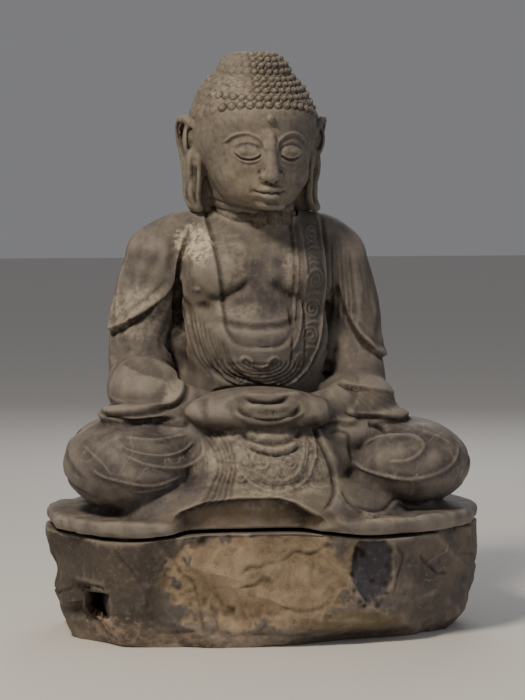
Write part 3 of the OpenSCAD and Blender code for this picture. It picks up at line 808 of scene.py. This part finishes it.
# The head is made upright facing -Y, then bowed and turned at the neck. Heights follow the usual thirds of a face.
headParts = {
    "turn": 3, "bow": 8, "bowAbout": (70, 735), "side": -10,
    "softGrain": 3.0, "baseGrain": 2.0, "grain": 1.45, "triangles": 195000,
    "middleY": 58, "lumps": ((44, 0.7, 61), (16, 0.4, 62), (6, 0.2, 63)),
    "curl": 13.4, "frontCurl": 16.0, "curlHigh": 7.0,
    # how high the hair starts, for a turn away from the face in degrees
    "hairTurns": [0, 30, 55, 70, 84, 100, 118, 140, 180],
    "hairStarts": [916, 913, 902, 888, 882, 868, 806, 778, 768],
}

# skull, face, jaw and neck are fused first and smoothed until no joint between them shows
softBalls = [
    (-2, 58, 862, 112, 119, 100), (-2, 50, 884, 109, 112, 74), (0, 20, 824, 90, 98, 96), (0, 4, 782, 76, 86, 54),
    (-34, -18, 800, 48, 46, 46), (34, -18, 800, 48, 46, 46), (0, 66, 800, 88, 84, 80), (0, -34, 756, 40, 40, 28),
    (0, 66, 960, 64, 62, 43), (-1, 62, 900, 101, 100, 79),
]
softLimbs = [[(0, neckY, 698, 71), (0, neckY - 2, 730, 71), (0, neckY - 4, 790, 76)]]
featureBalls = [
    (0, -60, 748, 26, 19, 18), (0, -69, 771, 27, 15, 18), (0, -64, 836, 15, 20, 36), (0, -54, 862, 30, 16, 18),
    (-13, -78, 799, 10, 11, 9), (13, -78, 799, 10, 11, 9), (-36, -54, 838, 23, 14, 14), (36, -54, 838, 23, 14, 14),
]
featureLimbs = [
    [(0, -66, 864, 10), (0, -74, 842, 10), (0, -82, 818, 11), (0, -87, 802, 12.5)],
    [(-23, -74, 775, 2.6), (-10, -84, 778.5, 5.2), (0, -85.5, 777, 5.4), (10, -84, 778.5, 5.2), (23, -74, 775, 2.6)],
    [(-19, -75, 769, 2.8), (-8, -83, 765.5, 6.4), (0, -84.5, 765, 6.8), (8, -83, 765.5, 6.4), (19, -75, 769, 2.8)],
]


def hairEdge(turn):
    return np.interp(np.abs(turn), headParts["hairTurns"], headParts["hairStarts"])


def makeEar(side):  # a long ear, splayed at the top, its lobe hanging past the jaw
    rim = [(103, 38, 846, 6), (110, 40, 868, 7), (122, 54, 881, 7.5), (128, 72, 872, 7.5), (126, 80, 846, 7.5),
           (120, 76, 818, 7.5), (115, 68, 786, 8), (112, 62, 752, 9), (109, 56, 728, 11)]
    inner = [(108, 50, 852, 5), (117, 62, 858, 5), (118, 66, 840, 5), (113, 60, 820, 5), (105, 46, 810, 5.5)]
    front = [(101, 34, 818, 6), (101, 34, 790, 6.5), (102, 38, 756, 8), (105, 46, 728, 11)]
    parts = [limb([(side * x, y, z, r) for x, y, z, r in line]) for line in (rim, inner, front)]
    flesh = [(112, 62, 848, 10, 26, 36, 26), (108, 56, 800, 10, 22, 40, 24), (106, 52, 758, 9, 18, 42, 20),
             (98, 60, 820, 18, 28, 64, 0), (86, 78, 752, 24, 22, 54, 0)]
    return parts + [ball(side * x, *rest, 0, side * turn) for x, *rest, turn in flesh]


def carveFace(clay):
    front = (-400, 20)
    for side in (-1, 1):
        eye = [(side * x, z) for x, z in ((16, 837), (24, 830), (37, 826.5), (50, 829), (60, 837))]
        fold = [(side * x, z) for x, z in ((14, 842), (23, 849), (37, 852.5), (51, 849), (63, 840))]
        swell(clay, (side * 16, 847), (12, 15), -4)
        refresh(clay)
        swell(clay, (side * 37, 839), (25, 15), 2)
        refresh(clay)
        carve(clay, [
            (fold, 1.9, 2.6, 0.2, 0.5, 0.05),
            (eye, 1.7, 3.6, 0.1, 0.9, 0),
            ([(x, z + 3) for x, z in eye], 1.9, 2.0, 0.15, 0.05, 0, ridge),
            ([(x, z - 4.5) for x, z in eye], 1.9, 1.2, 0.2, 0, 0, ridge),
            ([(x * 0.98, z - 9) for x, z in eye], 3, 1.2, 0.3, 0.1, 0)], within=front)
        # long brow, joining the side of the nose
        brow = [(side * x, z) for x, z in ((10, 838), (11, 852), (21, 864), (40, 870), (60, 864), (76, 848))]
        carve(clay, [
            (brow, 2.4, 3.2, 0.12, 0.1, 0.05, ridge),
            ([(x, z - 6) for x, z in brow[1:]], 3.4, 1.8, 0.2, 0.15, 0.05),
            ([(side * x, z) for x, z in ((15, 792), (20.5, 796), (21.5, 804), (16, 811))], 1.9, 3, 0.2, 0.6, 0)],
            within=front)
        swell(clay, (side * 7.5, 791.5), (5.5, 4), -5)
        cut(clay, [(side * x, z) for x, z in ((24, 798), (32, 786), (36, 772))], 5, 1.1, fade=0.4, within=front,
            dirt=0.08, wear=0)
        swell(clay, (side * 29, 772.5), (8, 8), -3.4)
    mouth = [(-28, 774), (-16, 771.6), (-7, 772.6), (0, 771), (7, 772.6), (16, 771.6), (28, 774)]
    carve(clay, [
        (mouth, 1.5, 4, 0.06, 0.9, 0),
        ([(0, 791), (0, 784)], 3, 2, 0.2, 0.25, 0),
        ([(-17, 756.5), (0, 754), (17, 756.5)], 4.5, 2.6, 0.3, 0.3, 0)], within=front)
    # rings of the neck
    for z, bow in ((738, 14), (720, 10)):
        cut(clay, [(-84, z + 8), (-48, z - 0.3 * bow), (0, z - bow), (48, z - 0.3 * bow), (84, z + 8)], 2.8, 3,
            within=(-40, 70), fade=0.1, dirt=0.5, wear=0.1)
    for side in ("right", "left"):
        carve(clay, [
            ([(48, 806), (50, 780), (52, 752), (52, 730)], 3.2, 6, 0.15, 0.8, 0.05),
            ([(50, 866), (66, 870), (72, 850), (66, 822), (58, 804)], 3, 5, 0.15, 0.8, 0.05)], side=side)
    for side in (-1, 1):    # the same hollows of the ears, seen from the front
        for line, width, far in (([(108, 806), (107, 780), (107, 750), (107, 728)], 2.8, 70),
                                 ([(116, 870), (119, 850), (115, 826)], 3, 80)):
            cut(clay, [(side * x, z) for x, z in line], width, 5, fade=0.15, within=(20, far), dirt=0.8, wear=0.05)


def curlPlaces(clay):
    # rows of curls: one along the hairline, then level rows down from the crown, none on top of another
    s = headParts
    obj = clay["obj"]
    refresh(clay)
    middle = Vector((0, s["middleY"] * mm, 0))
    places = []

    def surface(turn, z):
        angle = math.radians(turn - 90)
        outward = Vector((math.cos(angle), math.sin(angle), 0))
        hit, place, normal, _ = obj.ray_cast(middle + outward * 0.3 + Vector((0, 0, z * mm)), -outward)
        return (np.array(place) / mm, np.array(normal)) if hit else None

    def offer(spot, radius):
        if spot and all(np.linalg.norm(spot[0] - other) > 0.86 * (radius + near) for other, _, near in places):
            places.append((*spot, radius))

    def row(z, pitch, follow=False):
        turn = 0.0
        while turn < 180:
            for t in {turn, -turn}:
                level = hairEdge(t) + 2 if follow else z
                byEar = 60 < abs(t) < 112 and level < 888
                if not byEar and (follow or level > hairEdge(t) + 0.35 * pitch):
                    offer(surface(t, level), pitch / 2)
            reach = surface(turn, hairEdge(turn) + 2 if follow else z)
            away = np.hypot(reach[0][0], reach[0][1] - s["middleY"]) if reach else 90
            turn += math.degrees(pitch / max(away, 8))

    row(0, s["frontCurl"], follow=True)
    # walk down the side of the head so rows are evenly spaced over the curve
    last = None
    for z in np.arange(crownZ - 1, hairEdge(180), -0.7):
        spot = surface(90, z)
        if spot is None:
            continue
        here = np.array([spot[0][0], spot[0][2]])
        if last is None or np.linalg.norm(here - last) > 0.93 * s["curl"]:
            row(z, s["curl"] * (1.1 if z < 940 else 1.0))
            last = here
    for ring in (0, 14, 28, 42):
        count = max(1, round(2 * math.pi * ring / s["curl"]))
        for k in range(count):
            a = k / count * 2 * math.pi
            origin = middle + Vector((ring * math.cos(a) * mm, ring * math.sin(a) * mm, 1.2))
            hit, place, normal, _ = obj.ray_cast(origin, Vector((0, 0, -1)))
            if hit:
                offer((np.array(place) / mm, np.array(normal)), s["curl"] / 2)
    return places


def wearAt(at):  # the right front of the hair is worn smooth
    crown = ramp(-8, -34, at[0]) * ramp(952, 958, at[2])
    side = ramp(-74, -88, at[0]) * ramp(120, 60, at[1])
    top = ramp(0, -44, at[0]) * ramp(930, 942, at[2]) * ramp(90, 40, at[1])
    return float(np.clip(max(crown, side, top) + 0.25 * mottle(at[None], 40, 51)[0], 0, 1))


def carveCurls(clay):
    s = headParts
    places = curlPlaces(clay)
    tree = treeOf(clay["p"])
    start, normals = clay["p"].copy(), clay["n"].copy()
    dice = np.random.default_rng(5)
    for at, normal, radius in places:
        index = np.array([i for _, i, _ in tree.find_range(Vector(at), radius * 1.05)])
        up = normals[index].mean(0)
        up /= np.linalg.norm(up)
        across = np.cross(up, (0, 0, 1) if abs(up[2]) < 0.9 else (0, 1, 0))
        across /= np.linalg.norm(across)
        along = np.cross(up, across)
        gap = start[index] - at
        x, y = gap @ across, gap @ along
        r = np.minimum(np.hypot(x, y) / radius, 1.02)
        worn = wearAt(at)
        dome = 1 - np.minimum(r, 1) ** 2
        phase = (np.arctan2(y, x) / (2 * math.pi) + dice.uniform()) % 1
        groove = np.abs((r * 1.75 - phase + 8) % 1 - 0.5) * 2
        ring = ramp(0.5, 0.0, groove) * ramp(1.0, 0.8, r) * ramp(0.1, 0.3, r)
        rise = s["curlHigh"] * (radius / 7) * (dome ** 0.7 - 0.3 * ring) - 3.2
        clay["p"][index] = start[index] + up * (rise * (1 - 0.94 * worn) + 1.6 * worn)[:, None]
        # each curl's rim and spiral groove are darkened, less where worn: painted shade
        sootAndShade = np.maximum(0.98 * ramp(0.62, 0.94, r), 0.7 * ring) * (1 - 0.9 * worn)
        clay["dirt"][index] = np.maximum(clay["dirt"][index], sootAndShade)
    return places


def bowed(p):  # the head's bow and turn at the neck
    s = headParts
    out = p.copy()
    backY, lowZ = s["bowAbout"]
    share = ramp(lowZ - 32, lowZ + 20, p[:, 2]) * math.radians(s["bow"])
    y, z = p[:, 1] - backY, p[:, 2] - lowZ
    out[:, 1] = backY + y * np.cos(share) - z * np.sin(share)
    out[:, 2] = lowZ + z * np.cos(share) + y * np.sin(share)
    out[:, 0] += s["side"] * ramp(headZ + 4, headZ + 44, out[:, 2])
    angle = math.radians(s["turn"])
    x, y = out[:, 0].copy(), out[:, 1] - neckY
    out[:, 0] = x * math.cos(angle) - y * math.sin(angle)
    out[:, 1] = x * math.sin(angle) + y * math.cos(angle) + neckY
    return out


def makeHead():
    s = headParts
    soft = fused([ball(*b) for b in softBalls] + [limb(line) for line in softLimbs], s["softGrain"], 22)
    parts = [soft] + [ball(*b) for b in featureBalls] + [limb(line) for line in featureLimbs]
    for side in (-1, 1):
        parts += makeEar(side)
    obj = fused(parts, s["baseGrain"], 6)
    apply(obj, "REMESH", mode="VOXEL", voxel_size=s["grain"] * mm)
    clay = takeClay(obj)
    print("head rough", len(clay["p"]), "points")
    carveFace(clay)
    refresh(clay)
    print("curls", len(carveCurls(clay)))
    refresh(clay)
    for size, high, seed in s["lumps"]:
        roughen(clay, size, high, seed)
    p = clay["p"]
    p[:] = bowed(p)
    # the crown is worn nearly flat
    over = p[:, 2] > crownZ - 6
    p[over, 2] = crownZ - 6 + 5 * (1 - np.exp(-(p[over, 2] - crownZ + 6) / 6))
    p[p[:, 2] < headZ + 1.5, 2] = headZ

    def paint(thin):
        q = thin["p"]
        hair = ramp(880, 905, q[:, 2] + 0.2 * q[:, 1])
        return {
            "violet": np.clip(0.1 + 0.6 * ramp(0, 0.7, mottle(q, 70, 71)) + 0.3 * ramp(0, 80, q[:, 0]), 0, 1),
            "cream": np.maximum.reduce([
                np.full(len(q), 0.12),
                blots(q, [(0.3, (-60, -10, 925), (40, 70, 30), 0.35, 72),
                          (0.15, (-70, -20, 870), (30, 60, 40), 0.35, 73)]),
                0.35 * ramp(0.25, 0.8, mottle(q, 30, 74)) * hair * ramp(20, -60, q[:, 0])]),
            "olive": np.clip(0.75 * ramp(-0.1, 0.6, mottle(q, 80, 75)) + 0.4 * ramp(30, -60, q[:, 0]), 0, 1),
            "ochre": 0.15 * blot(q, (-40, -60, 800), (40, 60, 70), 0.3, 76),
        }
    return finishClay(clay, "head", s["triangles"], paint)


neckFillet = {
    "radius": 75.5, "height": 44, "lower": 4,     # lower is how far its middle lies under the joint's
    "grain": 1.6, "triangles": 36000, "narrow": 0.1,
    "lumps": ((40, 4.0, 85), (17, 3.2, 81), (8, 1.6, 82), (4, 0.6, 83)),
}


def makeNeckMortar():
    # lime pressed into the joint and smeared over both its edges
    s = neckFillet
    middle = (neckZ + headZ) / 2 - s["lower"]
    bpy.ops.mesh.primitive_cylinder_add(vertices=96, radius=s["radius"] * mm, depth=s["height"] * mm,
                                        location=(0, neckY * mm, middle * mm))
    clay = takeClay(fused([settle(bpy.context.object)], s["grain"], 5))
    p = clay["p"]
    for size, high, seed in s["lumps"]:
        side = ramp(40, 66, np.hypot(p[:, 0], p[:, 1] - neckY))
        p += clay["n"] * (side * high * mottle(p, size, seed))[:, None]
        refresh(clay)
    # narrows a little above and below
    narrow = 1 - s["narrow"] * np.abs((p[:, 2] - middle) / 21) ** 3
    p[:, 0] *= narrow
    p[:, 1] = neckY + (p[:, 1] - neckY) * narrow
    clay["dirt"] = 0.45 * ramp(0, 0.8, mottle(p, 20, 86))
    return finishClay(clay, "neckMortarFillet", s["triangles"],
                      lambda thin: {"cream": ramp(0.1, 0.7, mottle(thin["p"], 24, 84))})


bead = {"segments": 40, "rings": 24, "proud": 1.5}  # proud is how far its middle stands off the forehead


def makeBead(head):
    # set where the forehead's surface is, in front of the drilled socket
    middle = (beadLow + beadHigh) / 2
    _, place, normal, _ = head.ray_cast(Vector((middle.x, -0.4, middle.z)), Vector((0, 1, 0)))
    bpy.ops.mesh.primitive_uv_sphere_add(segments=bead["segments"], ring_count=bead["rings"],
                                         radius=(beadHigh.x - beadLow.x) / 2,
                                         location=place + normal * bead["proud"] * mm)
    piece = named(settle(bpy.context.object), "foreheadBead")
    bpy.ops.object.shade_smooth()
    print("foreheadBead set")
    return piece


def colour(code):  # a web colour as the linear values that shaders take
    parts = [int(code[i:i + 2], 16) / 255 for i in (1, 3, 5)]
    return tuple(c / 12.92 if c <= 0.04045 else ((c + 0.055) / 1.055) ** 2.4 for c in parts) + (1.0,)


def newMaterial(name):
    material = bpy.data.materials.new(name)
    material.use_nodes = True
    tree = material.node_tree
    shader = next(n for n in tree.nodes if n.type == "BSDF_PRINCIPLED")
    return material, tree, shader


def node(tree, kind, inputs=None, **settings):
    made = tree.nodes.new(kind)
    for key, value in settings.items():
        setattr(made, key, value)
    for key, value in (inputs or {}).items():
        if isinstance(value, bpy.types.NodeSocket):
            tree.links.new(value, made.inputs[key])
        else:
            made.inputs[key].default_value = value
    return made


def noise(tree, size, detail=4, rough=0.55, warp=0.0, seed=0.0, stretch=1.0):
    # cloudy pattern, one cloud about size mm across and stretch times as high
    place = node(tree, "ShaderNodeTexCoord").outputs["Object"]
    shifted = node(tree, "ShaderNodeVectorMath", {0: place, 1: (1, 1, 1 / stretch), 2: (seed, 2 * seed, 3 * seed)},
                   operation="MULTIPLY_ADD").outputs[0]
    return node(tree, "ShaderNodeTexNoise", {"Vector": shifted, "Scale": 1000 / size, "Detail": detail,
                                             "Roughness": rough, "Distortion": warp}).outputs["Fac"]


def between(tree, value, low, high, top=1.0):  # low to high becomes 0 to top
    return node(tree, "ShaderNodeMapRange", {"Value": value, "From Min": low, "From Max": high, "To Min": 0.0,
                                             "To Max": top}).outputs["Result"]


def blend(tree, amount, under, over):
    return node(tree, "ShaderNodeMix", {0: amount, 6: under, 7: over}, data_type="RGBA").outputs[2]


def times(tree, a, b):
    return node(tree, "ShaderNodeMath", {0: a, 1: b}, operation="MULTIPLY").outputs[0]


def attribute(tree, name):
    return node(tree, "ShaderNodeAttribute", attribute_name=name).outputs["Fac"]


def vein(tree, size, seed):  # thin pale lines along the middle level of a cloudy pattern
    middle = node(tree, "ShaderNodeMath", {0: noise(tree, size, 3, 0.5, 1.2, seed), 1: 0.5}, operation="SUBTRACT")
    line = node(tree, "ShaderNodeMath", {0: middle.outputs[0]}, operation="ABSOLUTE").outputs[0]
    broken = between(tree, noise(tree, 60, 3, 0.5, 0, seed + 1), 0.48, 0.6)
    return times(tree, between(tree, line, 0.008, 0.001, 0.7), broken)


def stoneBump(tree, shader, height, strength, distance):
    bump = node(tree, "ShaderNodeBump",
                {"Strength": strength, "Distance": distance * mm, "Height": height})
    tree.links.new(bump.outputs["Normal"], shader.inputs["Normal"])


def layered(tree, base, layers):
    # each layer is its painted stain, its cloud, the band of the cloud that shows, and its colour;
    # without a cloud the band is a plain share
    for stain, cloud, band, code in layers:
        if cloud == "vein":
            amount = vein(tree, *band)
        else:
            amount = between(tree, noise(tree, *cloud), *band) if cloud else band
        if stain:
            amount = times(tree, attribute(tree, stain), amount)
        over = colour(code) if isinstance(code, str) else layered(tree, colour(code[0]), code[1])
        base = blend(tree, amount, base, over)
    return base


def weathered(name, first, layers, rough, gloss, grains, bump):
    material, tree, shader = newMaterial(name)
    tree.links.new(layered(tree, colour(first), layers), shader.inputs["Base Color"])
    shader.inputs["Roughness"].default_value = rough
    shader.inputs["Specular IOR Level"].default_value = gloss
    share, coarse, fine = grains
    stoneBump(tree, shader, blend(tree, share, noise(tree, *coarse), noise(tree, *fine)), *bump)
    return material


# schist, carved and weathered, with painted shade and dust in its hollows, lime, and rubbed edges lightened as wear
# and painted highlight
carvedLayers = [
    (None, (60, 5, 0.6), (0.35, 0.65), "#5b5450"),
    ("olive", (18, 5), (0.3, 0.6, 0.8), "#7d735d"),
    ("violet", (26, 4, 0.6, 0, 3), (0.3, 0.6, 0.85), "#3f383d"),
    ("ochre", None, 1, "#80694c"),
    (None, (22, 5, 0.6, 0, 13, 4), (0.42, 0.7, 0.5), "#5a514b"),     # streaks that rain leaves
    (None, (26, 5, 0.6, 0, 15, 5), (0.5, 0.72, 0.4), "#8a806f"),
    # rounded edges lighter: wear and painted highlight
    ("wearAndHighlight", None, 0.55, "#a0968a"),
    ("veined", "vein", (110, 21), "#968c80"),
    ("cream", (9, 6, 0.65, 0, 5), (0.36, 0.56), "#cbbda6"),
    (None, (8, 5, 0.7, 0, 7), (0.52, 0.76, 0.3), "#a3988a"),
    (None, (7, 4, 0.7, 0, 9), (0.6, 0.74, 0.6), "#4f463f"),
    # hollows darker: painted shade with dirt
    ("hollowShadeAndDirt", (12, 4, 0.6, 0, 11), (0.2, 0.5, 0.95), "#2f261f"),
]
# the same schist, only hewn, and freshly broken where it is ochre
freshLayers = [(None, (36, 6, 0.65, 0.6, 2), (0.4, 0.62), "#8b7860")]
hewnLayers = [
    (None, (55, 6, 0.65), (0.38, 0.62), "#5e5857"),
    ("ochre", None, 0.95, ("#ad987c", freshLayers)),
    ("olive", None, 0.7, "#756646"),
    (None, "vein", (90, 12), "#a39783"),
    ("violet", None, 1, "#4d4a50"),
    ("sootAndShade", None, 0.6, "#3d3630"),
    ("cream", (14, 6, 0.65, 0, 4), (0.4, 0.6, 0.8), "#bda58e"),
    # rounded edges lighter: wear and painted highlight
    ("wearAndHighlight", None, 0.4, "#aa9e8c"),
    (None, (6, 4, 0.7, 0, 6), (0.58, 0.72, 0.55), "#3d352e"),
    (None, (9, 5, 0.7, 0, 8), (0.52, 0.76, 0.25), "#b0a38c"),
    # hollows darker: painted shade with dirt
    ("hollowShadeAndDirt", None, 1, "#2b2119"),
]


def speckled(name, light, dark, size, rough, metal=0.0, lumps=0.4):
    material, tree, shader = newMaterial(name)
    base = blend(tree, between(tree, noise(tree, size, 6, 0.65), 0.36, 0.64), colour(light), colour(dark))
    tree.links.new(base, shader.inputs["Base Color"])
    shader.inputs["Roughness"].default_value = rough
    shader.inputs["Metallic"].default_value = metal
    stoneBump(tree, shader, noise(tree, size / 3, 5, 0.65), lumps, 1.0)
    return material


materials = {
    "carved_stone": weathered("carvedStone", "#716a61", carvedLayers, 0.66, 0.34, (0.5, (9, 6, 0.6), (2.2, 4, 0.7)),
                              (0.55, 1.6)),
    "bed_stone": weathered("hewnStone", "#776c61", hewnLayers, 0.88, 0.25, (0.45, (16, 7, 0.65), (3, 5, 0.7)),
                           (0.8, 3.5)),
    "bead_stone": speckled("paleQuartz", "#8f867a", "#6c645b", 5, 0.5, 0, 0.3),       # rubbed quartz bead
    "lime_mortar": speckled("limeMortar", "#7d7264", "#4c4138", 9, 0.92, 0, 0.7),      # lime and grit, dirty
    "slate": speckled("splitSlate", "#4b4a4d", "#37373b", 20, 0.7, 0, 0.3),            # thin slate wedges
    "iron": speckled("rustedIron", "#6a4330", "#3a2820", 7, 0.85, 0.3, 0.5),           # forged iron, rusted
    "lead": speckled("pouredLead", "#6f7174", "#56585b", 12, 0.5, 0.9, 0.2),           # lead run in hot
}
slots = {
    "bed_mortar": "lime_mortar", "bed_shims": "slate", "left_bed_dowel": "iron", "right_bed_dowel": "iron",
    "left_bed_lead": "lead", "right_bed_lead": "lead", "neck_dowel": "iron", "neck_lead": "lead",
}


def place(piece, replaced, slotName):
    piece.data.materials.clear()
    piece.data.materials.append(materials[slotName])
    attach(piece, "root")
    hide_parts(replaced)


place(makeBedStone(), "bed_stone", "bed_stone")
place(makeFigure(), "seated_figure", "carved_stone")
headPiece = makeHead()
place(headPiece, "head", "carved_stone")
place(makeNeckMortar(), "neck_mortar", "lime_mortar")
place(makeBead(headPiece), "urna", "bead_stone")
for name, slotName in slots.items():
    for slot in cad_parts[name].material_slots:
        slot.material = materials[slotName]


studio = {
    "floorSize": 40, "floorTint": "#d9d6d1", "airTint": "#e6e6ea", "air": 0.26,
    "lens": 124.5, "around": -11, "up": 4, "away": 4.2,      # the camera's turn, height in degrees and distance
    # each lamp is its place, size, power and tint
    "keyLight": ((-1.5, -1.4, 2.9), 0.6, 88, "#fff3e0"),
    "fillLight": ((2.6, -2.2, 1.0), 2.0, 10, "#e6edff"),
    "backLight": ((0.9, 2.6, 2.2), 1.4, 26, "#ffffff"),
}
target = Vector((0, 0, 0.478))      # the middle of the view

bpy.ops.mesh.primitive_plane_add(size=studio["floorSize"], location=(0, 0, 0))
floor = named(bpy.context.object, "floor")
floorMaterial, _, shader = newMaterial("paleFloor")     # matt board
shader.inputs["Base Color"].default_value = colour(studio["floorTint"])
shader.inputs["Roughness"].default_value = 0.9
floor.data.materials.append(floorMaterial)


def lamp(name, place, size, power, tint):
    bpy.ops.object.light_add(type="AREA", location=place)
    light = bpy.context.object
    light.name = name
    light.data.size = size
    light.data.energy = power
    light.data.color = colour(tint)[:3]
    light.rotation_euler = (target - light.location).to_track_quat("-Z", "Y").to_euler()


for name in ("keyLight", "fillLight", "backLight"):
    lamp(name, *studio[name])
world = bpy.data.worlds.new("studio")
world.use_nodes = True
air = world.node_tree.nodes["Background"]
air.inputs["Color"].default_value = colour(studio["airTint"])
air.inputs["Strength"].default_value = studio["air"]
bpy.context.scene.world = world

camera = bpy.data.cameras.new("camera")
camera.lens = studio["lens"]
camera.sensor_width = 36
camera.clip_end = 100
eye = bpy.data.objects.new("camera", camera)
bpy.context.collection.objects.link(eye)
around, up = math.radians(studio["around"]), math.radians(studio["up"])
facing = Vector((math.sin(around) * math.cos(up), -math.cos(around) * math.cos(up), math.sin(up)))
eye.location = target + facing * studio["away"]
eye.rotation_euler = (target - eye.location).to_track_quat("-Z", "Y").to_euler()
bpy.context.scene.camera = eye
print("floor, lights and camera set")
